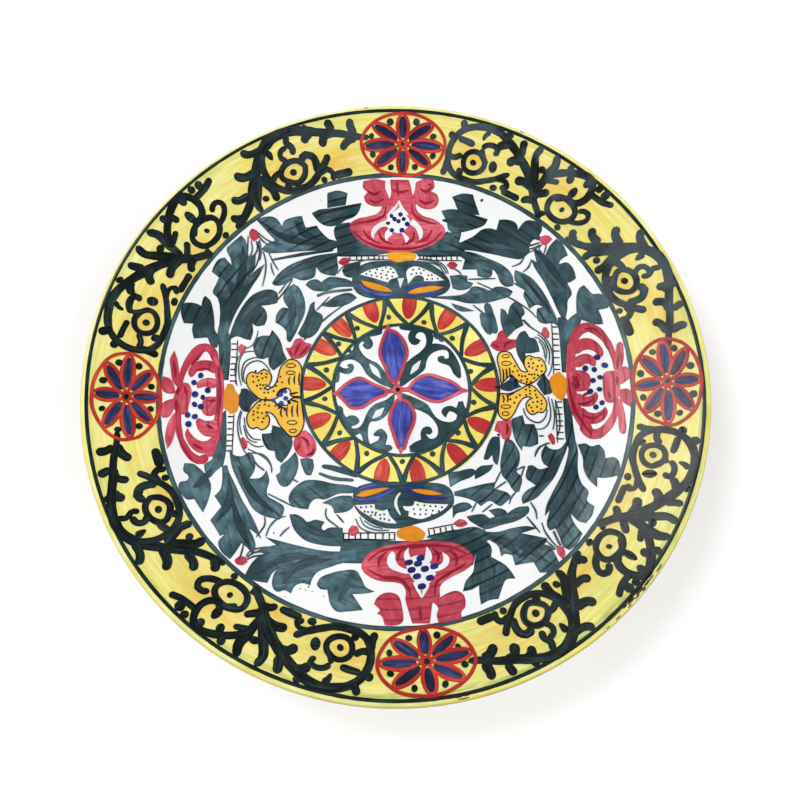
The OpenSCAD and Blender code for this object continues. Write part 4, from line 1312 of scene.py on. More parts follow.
def make_leaves():
    """Slate green leaves with darker strokes of the brush across them, one coat a corner."""
    bands = Coat("leaf_bands", 0.05)
    for band in (BAND_N, BAND_S, BAND_E, BAND_W):
        bands.shapes(band, tone=0.75)
    bands.finish(LEAF_GREEN, "leaf_green", "acanthus_leaves")
    corners = (
        ("ne", LEAVES_NE, BLADES_NE, VEINS_NE), ("nw", LEAVES_NW, BLADES_NW, VEINS_NW),
        ("sw", LEAVES_SW, BLADES_SW, VEINS_SW), ("se", LEAVES_SE, BLADES_SE, VEINS_SE),
    )
    for corner, leaves, blades, veins in corners:
        coat = Coat("leaves_" + corner, 0.1)
        coat.shapes(leaves)
        for points, widths in blades:
            coat.stroke(points, *widths)
        coat.finish(LEAF_GREEN, "leaf_green")
        shade = Coat("leaf_veins_" + corner, 0.21)
        shade.strokes(veins, 1.2, 4.2, 0.8)
        shade.finish(SHADE_GREEN, "leaf_green")


def make_hairlines():
    """Fine drawn lines in the white between the leaves."""
    hairs = Coat("hairlines", 0.24)
    for paths in (HAIRS_NE, HAIRS_NW, HAIRS_SW, HAIRS_SE):
        hairs.strokes(paths, 0.6, 0.95, 0.5)
    hairs.strokes(RIBBON_HAIRS, 0.5, 0.75, 0.5)
    hairs.finish(HAIR_GREEN, "leaf_green")


# ---- Palmettes at the top and bottom of the well -------------------------------------------------

PALMETTES = [
    [(-24, 89.5), (-20, 92.8), (-14, 94.3), (-9.5, 96), (-7.3, 98.5), (-7, 101.5), (-3, 104), (-2.8, 113),
     (6.8, 112.8), (8, 109), (8.8, 105.5), (10.5, 103), (10.5, 99), (12, 96.3), (15, 94.2), (19, 93),
     (23, 90.5), (25.5, 87), (25.5, 84.5), (22, 80.5), (16, 77), (10, 75), (3, 74.2), (-4, 74.5),
     (-10, 76), (-16, 78.8), (-21, 83), (-23.5, 87)],
    [(-16, -87), (-15, -83.5), (-12, -80), (-7, -77.5), (0, -76), (4, -75), (13, -74.8), (22, -74.7),
     (29, -76), (34, -79), (36.2, -82), (36, -85), (32, -88.5), (26, -91.5), (22, -94), (20.5, -96),
     (20, -101.5), (17, -103.5), (16.5, -106), (15.5, -113), (7.5, -113), (5.5, -106), (4.5, -102),
     (4.7, -98), (3, -95), (0, -94), (-6, -93.5), (-11, -92), (-14.5, -89.5)],
]
PALMETTE_KNOBS = [
    [(-5.4, 112.4), (-5.4, 108.6), (-4.2, 105.9), (-3.4, 102.8), (-6.1, 100.2), (-11.1, 99.6),
     (-15.3, 101.4), (-16.6, 104.4), (-14.6, 106.8), (-17, 108.8), (-16.8, 112), (-11.1, 113.2)],
    [(10.5, 111.6), (15.3, 113.2), (19.6, 112.4), (20.2, 109), (18.4, 107.1), (21.6, 105.2), (22.4, 102),
     (20.7, 99), (17.5, 98), (13, 98.9), (10, 101.6), (8, 103.8), (9.8, 107)],
    [(-10, -104), (-8.5, -101), (-5.5, -99), (-2, -98.7), (1, -100), (2.5, -103), (3, -106), (3.5, -109),
     (3, -112.5), (-1, -114), (-5, -113.7), (-6.5, -109.5), (-8.5, -108.5), (-7, -106.8)],
    [(17, -103), (20.5, -101), (24, -99), (28, -98), (31, -99.5), (32, -102.5), (31.5, -106),
     (30, -107.5), (30, -111), (25, -112), (19.5, -112.8), (18.7, -109), (19.5, -106)],
]
PALMETTE_WHITES = [
    [(-4, 92.5), (-8, 91), (-12, 87.5), (-12.7, 84), (-11.5, 81.5), (-10.5, 85), (-7.5, 88.3),
     (-3, 88.8)],
    [(9, 93), (12, 90), (14, 86.5), (13.8, 83), (12.3, 81), (11.8, 84), (10, 88), (7, 90)],
    [(-2, 88.5), (-5, 86), (-5.7, 83), (-4.5, 79.7), (-4, 82), (-2, 84)],
    [(2.5, 86), (5, 84.5), (7, 82), (5, 78.2), (4.8, 81), (4, 83)],
    [(-1.7, -79.4), (-3.5, -81.7), (-4.1, -84.7), (-2.7, -87.2), (0.3, -88.7), (4.4, -89.8), (8.4, -89.8),
     (6.5, -88.2), (3.2, -87.2), (0.8, -85.4), (-0.2, -83.2), (-0.4, -80.7)],
    [(6.1, -77.6), (3.9, -80.6), (4.4, -83.7), (6.4, -84.6), (8.4, -83.7), (6.9, -82.2), (6.1, -80)],
    [(14.3, -77), (14, -80.2), (13.5, -82.4), (12.5, -83.7), (14.5, -85.4), (16.6, -83.7), (16.9, -81),
     (15.9, -78.8)],
    [(21.7, -79.7), (25, -82.4), (24.5, -85.7), (22.2, -87.6), (18.1, -89), (15.6, -89), (17.1, -86.7),
     (20.6, -85.8), (22.2, -84), (22.2, -81.7)],
]
PALMETTE_SLITS = [
    ([(1.7, 102.8), (2.7, 99.5), (3.8, 97.5), (6.5, 95)], (0.6, 1.8, 1.2)),
    ([(1.4, 102.4), (0.5, 100), (-2, 97), (-4.5, 94)], (0.6, 1.8, 1.2)),
    ([(12, -101.3), (10.5, -97.5), (8.4, -93.8)], (0.6, 1.8, 1.2)),
    ([(12, -101.3), (13.4, -98), (15.4, -95)], (0.6, 1.8, 1.2)),
]
SEED_GROUNDS = [
    [(1.9, 99), (5, 95.5), (7.5, 91), (5.5, 87.5), (2, 85), (-2.5, 86.5), (-5.5, 89.5), (-4, 94),
     (-0.5, 97)],
    [(12, -98), (15.5, -94.5), (18.8, -90), (16, -85), (11.5, -81.5), (7, -82.5), (5, -86), (7, -91),
     (10, -95)],
]
SEEDS = [(-2.2, 94.5), (2.5, 95.3), (-4, 90.5), (1.5, 91.6), (6, 90), (-2, 86.6), (3.2, 86.6),
         (-0.6, 92.8), (4.2, 92.8)]
LONG_SEEDS = [(6.2, -84.8), (10.4, -85.3), (11.6, -82.8), (7.4, -88.3), (13.6, -87.8), (18, -86.6),
              (9.9, -91.3), (15.9, -92), (12.1, -96)]
# Darker strokes that model the bulb of a palmette
PALMETTE_FOLDS = [
    [(-20, 90.5), (-12, 92), (-6, 95), (-5, 100)], [(21, 90), (14, 92), (9, 96), (8.5, 101)],
    [(-22, 86), (-16, 80.5), (-8, 77), (2, 76), (12, 77), (20, 81), (24, 86)],
    [(-17, 87), (-14, 82.5), (-8, 79)], [(19, 87), (16, 82), (10, 79)],
    [(-9, 86.5), (-7, 81.5), (-1.5, 78.5)],
    [(9.6, 86), (8.5, 81), (3, 78.2)], [(0.5, 112), (1.5, 105)],
    [(-15, 107.6), (-11, 105.6), (-8, 107.4)],
    [(-14, 103), (-10, 101.6), (-6, 103.6)], [(-2, 108), (3, 106.8), (7, 108)],
    [(12, 103), (16, 101), (20, 102.6)],
    [(12.5, 108.4), (16, 106.6), (19, 109.6)], [(17.6, 111), (17.8, 109.6)],
    [(-13, -88), (-6, -91.5), (2, -92.5), (6, -97), (7, -103)],
    [(33, -85), (24, -90.5), (19, -94), (18, -100)],
    [(-13, -84), (-8, -80), (2, -77.5), (14, -76.8), (26, -77.5), (33, -80.5)],
    [(-8, -87), (-7.5, -83), (-4, -79.5)], [(28, -86.5), (28.5, -82), (25, -79)],
    [(1, -84), (1.5, -80.5), (4, -78)], [(19.5, -84.5), (20, -81), (17, -78)], [(11.5, -112), (11, -105)],
]


# ---- Blossoms at the sides of the well -----------------------------------------------------------

# Red bands of the right blossom and then the left one, as points and widths
BLOSSOM_BANDS = [
    ([(87.6, 20), (89, 26), (91.5, 30.3), (95.5, 32.2), (99.8, 30.3), (103.5, 26), (106, 21),
      (107.8, 14.5), (108.5, 8)],
     (4.0, 4.6, 5.0, 4.2, 3.2, 2.6, 2.2)),
    ([(87.6, 25), (87.2, 17), (86.7, 9), (86.5, 2), (87, -5), (88.8, -11.5), (91.4, -17), (94.4, -21.5)],
     (4.0, 4.6, 4.6, 5.4, 4.6)),
    ([(88.5, 19), (91.3, 22.5), (95.3, 23.6), (99, 21.8), (101.3, 18.8), (102, 16.4)],
     (5.0, 6.0, 6.0, 4.4, 2.4)),
    ([(89, 12), (91.8, 15.2), (94.6, 15.8), (97, 14.6), (98.5, 11.8)], (5.0, 5.6, 5.0, 2.6)),
    ([(90.5, -17.5), (94, -22.3), (97.5, -23), (101.3, -20.8), (104.7, -16.5), (106.8, -11.5),
      (107.8, -5.5)],
     (4.6, 5.2, 4.2, 3.0, 2.4)),
    ([(109, 7), (110, 15), (110.8, 23)], (2.4, 4.4, 2.8)),
    ([(108.4, -6), (109.2, -14), (109.3, -24)], (2.6, 3.4, 3.0)),
    ([(-105.8, -2), (-105.4, 5), (-103.6, 11.3), (-100.9, 16.6), (-97.6, 20.6), (-93.8, 22.1),
      (-91, 19.5), (-89.2, 14)], (2.4, 2.6, 3.4, 4.8, 4.2, 3.4)),
    ([(-89.6, 17), (-87.8, 10), (-86.6, 3), (-86.3, -5), (-86.4, -13), (-86.8, -20), (-88.2, -27),
      (-90.8, -34)],
     (3.0, 3.8, 3.8, 3.8, 4.6)),
    ([(-100.9, 6), (-100.2, 9.3), (-97.8, 11.9), (-94.5, 12.7), (-91, 11.8), (-88.3, 9)],
     (3.0, 4.4, 5.2, 4.6)),
    ([(-97.4, 0.6), (-95.7, 2.8), (-92.5, 3.6), (-88, 2.4)], (2.6, 4.6, 5.8)),
    ([(-105.9, -8), (-105.3, -16), (-104, -24.2), (-101.3, -30), (-97.8, -34.4), (-93.8, -36.4),
      (-90.5, -34)],
     (2.2, 2.8, 2.8, 3.8, 4.8)),
]
BLOSSOM_KNOBS = [
    [(86, 9.5), (91, 10), (94, 9), (95.8, 7), (96, 3), (94.5, 0), (91, -1), (88, -0.5), (86, 1)],
    [(87, -2.6), (90.5, -2.2), (93, -3.7), (96, -3.2), (98.2, -1.4), (99.2, -3), (98.6, -5.8), (96.8, -8),
     (94, -8.9), (91, -8.5), (88.5, -7.5)],
    [(88.5, -9.6), (91.5, -9.4), (94, -11.5), (97, -12.4), (100, -11.4), (102.2, -9.4), (103.2, -11.8),
     (102, -15), (99, -17.3), (96, -17.8), (93, -17), (90.5, -14.5)],
    [(109.3, 8.3), (112, 10.2), (113.8, 9.5), (114.5, 7), (114.2, 4), (112, 2.5), (110.5, 1.2),
     (108.8, 2)],
    [(109.6, -1.2), (113, -1.3), (114.4, -3), (114.4, -8), (113.5, -10.5), (111, -8.5), (109.6, -7),
     (109, -4)],
    [(101.8, 3), (102, 6.5), (103.5, 8.4), (106, 8.7), (108.4, 8.3), (109.4, 5), (109.2, -3),
     (107.5, -6.5), (105, -7.6), (102.8, -6.8), (101.8, -3)],
    [(-86, -4), (-90, -3.6), (-93, -4), (-94.6, -6.5), (-95, -10), (-93.5, -12.8), (-90.5, -13.6),
     (-88.5, -12.8), (-86.5, -11)],
    [(-95.6, -14.8), (-93, -16), (-90, -15.9), (-86.5, -14.5), (-86, -20), (-87.5, -22.5), (-90, -24),
     (-92.5, -23.7), (-95, -21.8), (-96.8, -18.5), (-97, -16)],
    [(-100.8, -20.2), (-99, -23), (-96.5, -25.4), (-93.5, -26.5), (-91, -26), (-88.5, -23.5),
     (-86.5, -23), (-87.5, -28), (-90.5, -31.8), (-92.5, -32.6), (-95.5, -32), (-98.5, -29.7),
     (-100.8, -26.2), (-101.7, -22.5)],
    [(-111, 14), (-109.3, 18.8), (-107.8, 15), (-106.5, 8), (-106.6, 0), (-109, 3), (-110.5, 10)],
    [(-110.5, -26), (-109, -31.5), (-107.5, -28.5), (-106.3, -22), (-106.6, -12), (-109, -16)],
    [(-113.8, 5), (-110.5, 4.3), (-108.5, 1.6), (-107.4, -3), (-111, -3.5), (-113.5, -2)],
    [(-107.4, -5.5), (-111, -7), (-113.5, -9.5), (-113.5, -14), (-112.5, -16), (-110, -15.5),
     (-108, -12)],
    [(-105, 2.2), (-102.5, 2.8), (-100.7, 1), (-100.3, -5), (-101, -9), (-101.5, -12.5), (-104, -13.5),
     (-107, -12), (-108, -4)],
]
BLOSSOM_SEEDS = [
    (93.8, 10.8), (98.1, 10), (99.8, 16.2), (103.2, 11.8), (100.6, 5.8), (97.2, 4.4), (100, -0.3),
    (95.5, -1.2), (100.8, -7.3), (97.8, -9.3), (-96.2, 7), (-99.2, 3.2), (-92.4, -0.5), (-98.4, -2.8),
    (-94.6, -4.2), (-98.3, -8), (-95.2, -9), (-101.2, -13.6), (-97.8, -14.2), (-100.5, -18.2),
]
# Darker strokes and rings where a blossom was gone over twice
BLOSSOM_FOLDS = [
    [(85.4, 6), (86, -3), (88, -11), (91.6, -18), (95, -23.4)], [(88, 7), (90, 3), (88, 0)],
    [(89, -7), (93, -7.4), (97, -5)], [(91, -13), (96, -15), (101, -12.5)],
    [(94.5, 31.5), (99, 31), (102.5, 27)],
    [(104, -1.5), (104.6, -5.5)], [(108.6, 6), (108.4, 1)], [(108.8, 9), (109.6, 16)],
    [(95, -1.6), (91.5, -3.4)],
    [(-88, 12), (-86.6, 3), (-86.3, -6), (-86.6, -18)], [(-92, -6), (-88, -5.6)],
    [(-106.4, 0), (-106.6, -4)],
    [(-103.5, 1), (-102.2, -4)], [(-107, -6), (-106.4, -12)], [(-101, 12), (-95.5, 19.8)],
    [(-92.5, -18), (-88.5, -20)],
    [(-98, -28), (-93, -30.6)], [(-103.6, -28), (-97, -37)], [(-109.4, 14), (-107.8, 5)],
    [(-98.6, 9.6), (-93, 10.8)],
]
BLOSSOM_RINGS = [(89.4, 6.3), (88.8, 2.7)]

ORANGE_TABS = [
    [(-4.5, 72.5), (-3.8, 74), (2, 74.3), (8.5, 74), (10.5, 72.5), (9.5, 70), (5, 69.2), (1, 68.5),
     (-2, 69.5), (-4, 71)],
    [(0.5, -70), (3, -68.5), (8, -67.5), (12, -69), (14, -71), (13, -73.5), (8, -75), (4, -74),
     (0.8, -72.5)],
    [(76.3, 6), (78.5, 8), (81, 9.5), (83, 7), (84.2, 5.5), (84.3, 0), (83, -3.5), (81.5, -5.8), (79, -4),
     (77, -1)],
    [(-83, 3), (-80.5, 2.8), (-79, -0.5), (-77, -3), (-77, -8), (-78, -11.5), (-81, -12.5), (-83, -10),
     (-84.5, -9.5), (-84.5, -2)],
]


def make_flowers():
    """Rose red palmettes and blossoms, with white left between their petals and blue seeds."""
    palmettes = Coat("palmette_petals", 0.16)
    palmettes.shapes(PALMETTE_KNOBS + PALMETTES)
    palmettes.finish(ROSE, "rose_red", "palmettes")
    folds = Coat("palmette_folds", 0.27)
    folds.strokes(PALMETTE_FOLDS + BLOSSOM_FOLDS, 0.6, 1.6, 0.5)
    for x, y in BLOSSOM_RINGS:
        folds.dot(x, y, 1.8)
        folds.stroke(circle(x, y, 1.9, 0.9, 0, 12), 0.5, closed=True)
    folds.finish(ROSE_DEEP, "rose_red")
    blossoms = Coat("blossom_petals", 0.16)
    for points, widths in BLOSSOM_BANDS:
        blossoms.stroke(points, *widths)
    blossoms.shapes(BLOSSOM_KNOBS)
    blossoms.finish(ROSE, "rose_red", "blossoms")
    whites = Coat("flower_whites", 0.28)
    whites.shapes(PALMETTE_WHITES + SEED_GROUNDS)
    for points, widths in PALMETTE_SLITS:
        whites.stroke(points, *widths)
    whites.finish(WHITE_PAINT, "white_glaze")
    seeds = Coat("flower_seeds", 0.38)
    seeds.dots(SEEDS, 2.6)
    for x, y in LONG_SEEDS:
        seeds.stroke([(x - 1.9, y - 0.4), (x + 1.9, y + 0.6)], 2.7)
    seeds.dots(BLOSSOM_SEEDS, 3.0)
    seeds.finish(SEED_BLUE, "kite_blue")
    tabs = Coat("orange_tab_strokes", 0.24)
    tabs.shapes(ORANGE_TABS)
    tabs.finish(ORANGE, "orange", "orange_tabs")



# ---- Seed pods above and below the medallion -----------------------------------------------------

POD_FRAMES = [
    [(-19.5, 62), (-18.5, 66), (-14, 68.5), (-5, 69.5), (2, 69.8), (10, 69.5), (16, 68.5), (21, 65.5),
     (25, 62), (27.5, 58), (27.5, 54.5), (25, 51.5), (20, 49.5), (10, 48.8), (-8, 48.5), (-16, 49.5),
     (-20, 52), (-22, 56), (-22, 60)],
    [(-19.5, -50), (-15, -47.5), (0, -46), (15, -46.5), (24, -48), (27, -51), (27.5, -57), (24, -61),
     (18, -64.5), (10, -66.5), (3, -68.5), (-5, -68.5), (-12, -66), (-17, -62), (-20, -57)],
]
POD_WHITES = [
    [(-18.3, 61.7), (-14, 64), (-9, 65.3), (-3.5, 66.2), (-0.5, 64.5), (0.5, 62.5), (1.5, 60.5),
     (0.5, 60), (-2.5, 59), (-4, 57.3), (-7, 58.3), (-12, 60)],
    [(5.8, 64), (7.5, 65.5), (10, 66.2), (14, 65), (18, 63), (22, 60.5), (24.8, 58.5), (19, 58),
     (14.3, 58), (14.3, 60), (12, 61.3), (9.5, 60.5), (8, 58.5), (6.3, 56.5)],
    [(1, 59.5), (2.3, 54), (4.3, 59.7)],
    [(-19.3, -57.5), (-14, -57.3), (-10, -57), (-9.8, -59.5), (-6, -60.3), (-4, -59.5), (-2.5, -63),
     (-0.5, -65), (0.5, -66.3), (-3, -66.2), (-8, -65), (-13, -62.5), (-17, -60)],
    [(9, -55.7), (14, -56.7), (19, -57), (25, -57.2), (23, -59.5), (18, -62), (12, -64.2), (8, -63.5),
     (6, -62.8), (6.3, -60.5), (4, -59.5), (3.5, -58), (6.5, -58.2), (8.5, -57.5)],
]
POD_SLIVER = [(2.3, -51.5), (0.5, -54), (0, -57), (1, -60), (2.3, -62.3)]
POD_LENSES = [
    [(-17.8, 58.5), (-13, 57.5), (-8, 56), (-4, 54.2), (-1.5, 52), (-6, 52.3), (-12, 53.7), (-16, 55.8)],
    [(6, 51.5), (9, 53.5), (14, 54.8), (20, 55.3), (24.5, 54.6), (20, 52.8), (14, 51.6), (9, 51)],
    [(-19, -53), (-16, -51), (-10, -49.7), (-5, -49.2), (-3, -49.3), (-7, -51), (-11, -52.5),
     (-16, -53.5)],
    [(7.5, -50), (12, -49.8), (18, -50.8), (22.5, -52.3), (18, -52.7), (12, -52), (9, -51)],
]
POD_BLUES = [
    ([(-18.5, 57), (-16, 53.5), (-11, 51), (-5, 50.3), (-1, 50.8)], 2.0),
    ([(4, 51.5), (8, 54.3), (13, 56), (18, 56.3)], 1.2),
    ([(5, 50.5), (12, 50.6), (19, 51.3), (24, 53.5)], 1.5),
    ([(-20, -54.5), (-14, -55), (-8, -53.5), (-3, -51), (0, -49)], 2.2),
    ([(-19, -51), (-15, -48.7), (-8, -48), (-3, -48.5)], 1.2),
    ([(4, -49.5), (8, -52), (14, -53.7), (20, -54.2), (24.5, -54.3)], 2.0),
    ([(4, -48.5), (10, -48.3), (14, -48.8)], 1.0),
]
# Rows of seeds in the white of each pod: first seed, last seed and how many
POD_SEED_ROWS = [
    ((-15, 61.8), (-4.5, 59.2), 5), ((-13, 63.3), (-1.8, 60.6), 5), ((-9.5, 64.4), (-1.2, 62.6), 4),
    ((-5, 65.4), (-2.5, 64.7), 2), ((8.2, 61.7), (9, 64.4), 2), ((10.5, 62.5), (12, 64.8), 2),
    ((13, 62.4), (14.5, 64), 2), ((16, 59.2), (21.5, 59.3), 3), ((16.5, 61.4), (18.5, 61.4), 2),
    ((-16.5, -58.6), (-11.5, -58.4), 3), ((-14.8, -60.6), (-9.4, -61), 4),
    ((-11.6, -62.5), (-5.4, -62), 4), ((-7.4, -64.2), (-3.2, -64.6), 3), ((10.6, -57.5), (22, -58.4), 5),
    ((8.6, -59.6), (20.6, -60.4), 5), ((8.8, -61.8), (17, -62.2), 4),
]
# Ticks across the white ribbons that frame the middle of the well: where they stand along each ribbon,
# and then the two ends of every tick
TICKS_N = (-23.5, -20, -17.5, -14, -11, -8.5, -6.5, 12.5, 14.3, 16, 18, 21, 24, 26, 28.5, 31.5)
TICKS_S = (-24.5, -22, -19, -16.5, -13, -9.5, -6, -3, -0.5)
TICKS_S_RISING = (15.5, 18, 21, 23.5, 26.5)
TICKS_E = (33, 29.3, 26.5, 23.3, 20.2, 16.7, 13, 10.5, -6.3, -9.2, -12.5, -16, -18.5, -21.8, -25)
TICKS_W = (24, 21, 17, 13.5, 10.5, 7.5, 4.5, -13.8, -16.8, -20, -23, -26, -28.5, -31)
RIBBON_TICKS = (
    [(x, 69.8, x, 71.9) for x in TICKS_N]
    + [(x, -71, x, -73.8) for x in TICKS_S]
    + [(x, -69.4 + (x - 15) * 0.17, x + 0.4, -72.2 + (x - 15) * 0.22) for x in TICKS_S_RISING]
    + [(78.6, y, 81.7, y) for y in TICKS_E]
    + [(-81.9, y, -79.1, y) for y in TICKS_W]
)
RIBBON_EDGES = [
    [(-28, 69.6), (-16, 69.8), (-4, 70)], [(11, 70), (22, 69.6), (34, 69.4)],
    [(-28, 72), (-4, 72.2)], [(11, 72.2), (34, 72)],
    [(-25, -71), (-12, -70.8), (0, -70.6)], [(15, -69), (28, -66.6)],
    [(-25, -74), (0, -74)], [(15, -72.4), (28, -69.4)],
    [(78.4, 36), (78.4, 20), (78.2, 8)], [(78.4, -5), (78.4, -27)],
    [(-79, 26), (-79, 3)], [(-79, -12.5), (-79, -33)],
]
RIBBON_HAIRS = [
    [(-3, 70), (-14, 70), (-20, 68.5), (-27, 66), (-30, 62)], [(14, 70), (20, 68.5), (24, 66), (26, 62)],
    [(14, 69), (22, 66.5), (25, 62)], [(12, 70.3), (20, 69.5), (25, 66.5), (27, 62)],
    [(-19, -64), (-17, -68), (-12, -70.5), (-5, -71)], [(-17, -63), (-15, -67), (-9, -69.5), (-3, -69.5)],
    [(-15, -65), (-11, -67.5), (-6, -68.8)],
    # Beside the eastern bow, upper then lower
    [(75.2, 7), (76.8, 10), (78, 18), (77.2, 22.5), (75.5, 26), (73, 29), (68.5, 32.5), (64.5, 37)],
    [(76, 13), (76.5, 19.5), (75.5, 23.5), (73.5, 27), (71, 29)],
    [(74.5, 14.5), (75.1, 20.5), (74, 24), (72, 26.5), (69.5, 27.8)],
    [(74.2, 16.5), (74, 20), (73.2, 23), (71.5, 25.8)],
    [(74.2, -10), (73.5, -13), (72, -15.5), (70, -16.8), (67.5, -16.5), (65, -15), (63.2, -12.5),
     (62.5, -9.5)],
    [(74.8, -3.5), (75.8, -12), (75, -16), (73, -19), (70.5, -20.2), (68.5, -20)],
    [(76.5, -4.5), (77.2, -8.5), (77.6, -12.5), (77.2, -17), (76.5, -20.5)],
    [(78.5, -6), (79.5, -10), (80, -14.5), (79.8, -19.5), (78, -25)],
    [(69.5, -23.5), (72, -23.6)], [(74, -27), (71.5, -28), (69, -29.5), (67.5, -32), (67.2, -34)],
    # Beside the western bow, upper then lower
    [(-78.2, 2), (-79.6, 10.5), (-79.2, 13.5), (-78, 17), (-76, 19.2), (-73, 20), (-69.5, 20)],
    [(-76, 2), (-77.2, 6), (-77.8, 10.5), (-77.5, 15.5), (-76.5, 18)],
    [(-75.5, 4), (-76.2, 8), (-76, 11.5), (-74.8, 14.5), (-72.5, 16), (-69.5, 16.8), (-66.5, 16.2)],
    [(-74.2, 3), (-75.2, 6), (-75, 10), (-73.5, 13), (-69, 15.1), (-66.5, 14.5), (-64.5, 12.8),
     (-62, 9.5)],
    [(-75, 21.5), (-72, 22.8), (-70.5, 25), (-69.2, 29), (-69, 31)],
    [(-75.8, -10.5), (-77, -16), (-76.5, -22), (-75.2, -26.5), (-73.5, -30.5), (-71.5, -33)],
    [(-75.2, -11), (-76, -15.5), (-75.8, -19), (-74.8, -23)],
    [(-74, -14), (-73.5, -17), (-72.8, -20), (-71.5, -22.5), (-69, -25), (-65.2, -25.5)],
    [(-74.2, -18), (-73, -22), (-71.5, -25), (-69, -26.5), (-67, -26.7)],
    [(-72, -26), (-69.5, -28), (-66.5, -29), (-63.8, -28.5)],
    [(-71.5, -30), (-64.5, -33.5), (-62, -35.5), (-60.2, -38), (-59.2, -40.5)],
    [(-68, -36), (-66, -38.5), (-63, -41)],
]


def make_pods():
    """Dark pods with white speckled seeds, orange lenses and blue strokes."""
    frames = Coat("pod_frames", 0.14)
    frames.shapes(POD_FRAMES, tone=0.8)
    frames.finish(LEAF_GREEN, "leaf_green", "seed_pods")
    whites = Coat("pod_whites", 0.26)
    whites.shapes(POD_WHITES)
    whites.stroke(POD_SLIVER, 0.8, 1.6, 0.6)
    whites.finish(WHITE_PAINT, "white_glaze")
    lenses = Coat("pod_lenses", 0.26)
    lenses.shapes(POD_LENSES)
    lenses.finish(ORANGE, "orange")
    blues = Coat("pod_blues", 0.3)
    for points, width in POD_BLUES:
        blues.stroke(points, width * 0.6, width, width * 0.5)
    blues.finish(BLUE, "kite_blue")
    seeds = Coat("pod_seeds", 0.38)
    for first, last, count in POD_SEED_ROWS:
        for k in range(count):
            t = k / (count - 1)
            x = first[0] + (last[0] - first[0]) * t + random.uniform(-0.2, 0.2)
            y = first[1] + (last[1] - first[1]) * t + random.uniform(-0.2, 0.2)
            seeds.dot(x, y, 1.0)
    seeds.finish(INK, "ink")


def make_ribbons():
    """White ribbons with ticks, in line with the four flowers."""
    ribbons = Coat("ribbons", 0.2)
    ribbons.strokes(RIBBON_EDGES, 0.45, 0.6, 0.45)
    for x1, y1, x2, y2 in RIBBON_TICKS:
        ribbons.stroke([(x1, y1), (x2, y2)], 0.7, 0.5)
    ribbons.finish(INK, "ink")


# ---- Spotted bows and buds at the sides of the medallion -----------------------------------------

BOWS = [
    [(50.5, 16), (51.5, 19), (54, 20), (56.5, 19.5), (58.5, 16.5), (60.5, 12.5), (62, 10), (64, 9.2),
     (65.8, 9.5), (64.3, 11), (63.7, 14), (64.5, 16.8), (66.5, 17.8), (68.5, 17), (69.5, 16.5),
     (71, 16.8), (73, 15.5), (74.2, 13), (74.3, 9.5), (71.5, 7), (69, 4.5), (66.5, 3), (63.5, 3),
     (60.5, 4.5), (57, 8), (55, 6), (52, 3), (51.5, 10)],
    [(51, -2), (50.3, -8), (50.2, -12), (51.5, -14.5), (54, -15.5), (56.5, -14), (58.5, -11), (60.5, -7),
     (62.5, -4.5), (65, -3.7), (67.3, -4.2), (65, -5.5), (63.8, -8), (64.5, -11), (66.5, -12.8),
     (68.5, -12.2), (69.8, -11.3), (71.5, -11.8), (73.5, -10), (74, -6.5), (72.5, -3.5), (70, -0.5),
     (68, 1.8), (65, 2.3), (62.5, 1), (60, -0.5), (56, -2)],
    [(-73.8, 5), (-73, 8), (-71, 9.3), (-69.5, 8.7), (-68, 8.5), (-66.5, 10), (-64.5, 10.3), (-62, 8.5),
     (-61.3, 6), (-62.5, 2.5), (-65.3, 0.5), (-62.5, 0.3), (-60, 2), (-58.5, 5), (-57.5, 10),
     (-56.5, 12.5), (-54.5, 14.5), (-52.5, 15.8), (-49, 15), (-47, 12.5), (-46.3, 8), (-46.3, -3.6),
     (-51.4, -3.4), (-52.4, 0.4), (-54.5, 1), (-58, -4),
     (-61, -5.2), (-66, -5), (-70, -2), (-72.5, 1)],
    [(-66.5, -5.5), (-70, -9), (-72.5, -13), (-72.3, -17), (-70.5, -19.7), (-68.8, -19.8), (-67.5, -19),
     (-65.5, -20.5), (-63, -19.5), (-61.5, -16.5), (-62, -13.5), (-63.8, -11.3), (-61, -12),
     (-58.5, -14.5), (-57, -17.5), (-54, -21), (-51.5, -23.5), (-49, -24), (-46.5, -22), (-44.7, -17.5),
     (-45.5, -11), (-46.5, -4.4), (-51.2, -4.6), (-53, -8), (-57, -8), (-61, -5.5)],
]
BOW_SPOTS = [
    (59, 12.2), (60.3, 9.8), (58, 9.3), (61, 7.5), (62.5, 7), (64, 7), (62, 4.8), (65, 5.5), (64.7, 4),
    (66.7, 4), (66, 8), (67.3, 7.8), (68.7, 8), (70.3, 7.5), (68.5, 6), (65.9, 13.7), (66.1, 12),
    (68.3, 13.8), (67.3, 16), (71.3, 15.2), (70.4, 12.2), (72.5, 12.5), (69.7, 10.3), (72.2, 9.5),
    (67.8, 11.3), (65.8, 1.3), (64.1, 0), (66.1, -0.5), (68.5, -0.5), (66.1, -2.1), (68.8, -2.6),
    (64.1, -2.8), (61, -2.8), (59.2, -4), (58.2, -6.7), (56.3, -5), (69.4, -4), (71.4, -5.7),
    (69.5, -6.2), (67.3, -6.5), (65.3, -8), (66.4, -9.2), (69.2, -8.8), (71.5, -7.3), (67, -11),
    (71.2, -10),
]
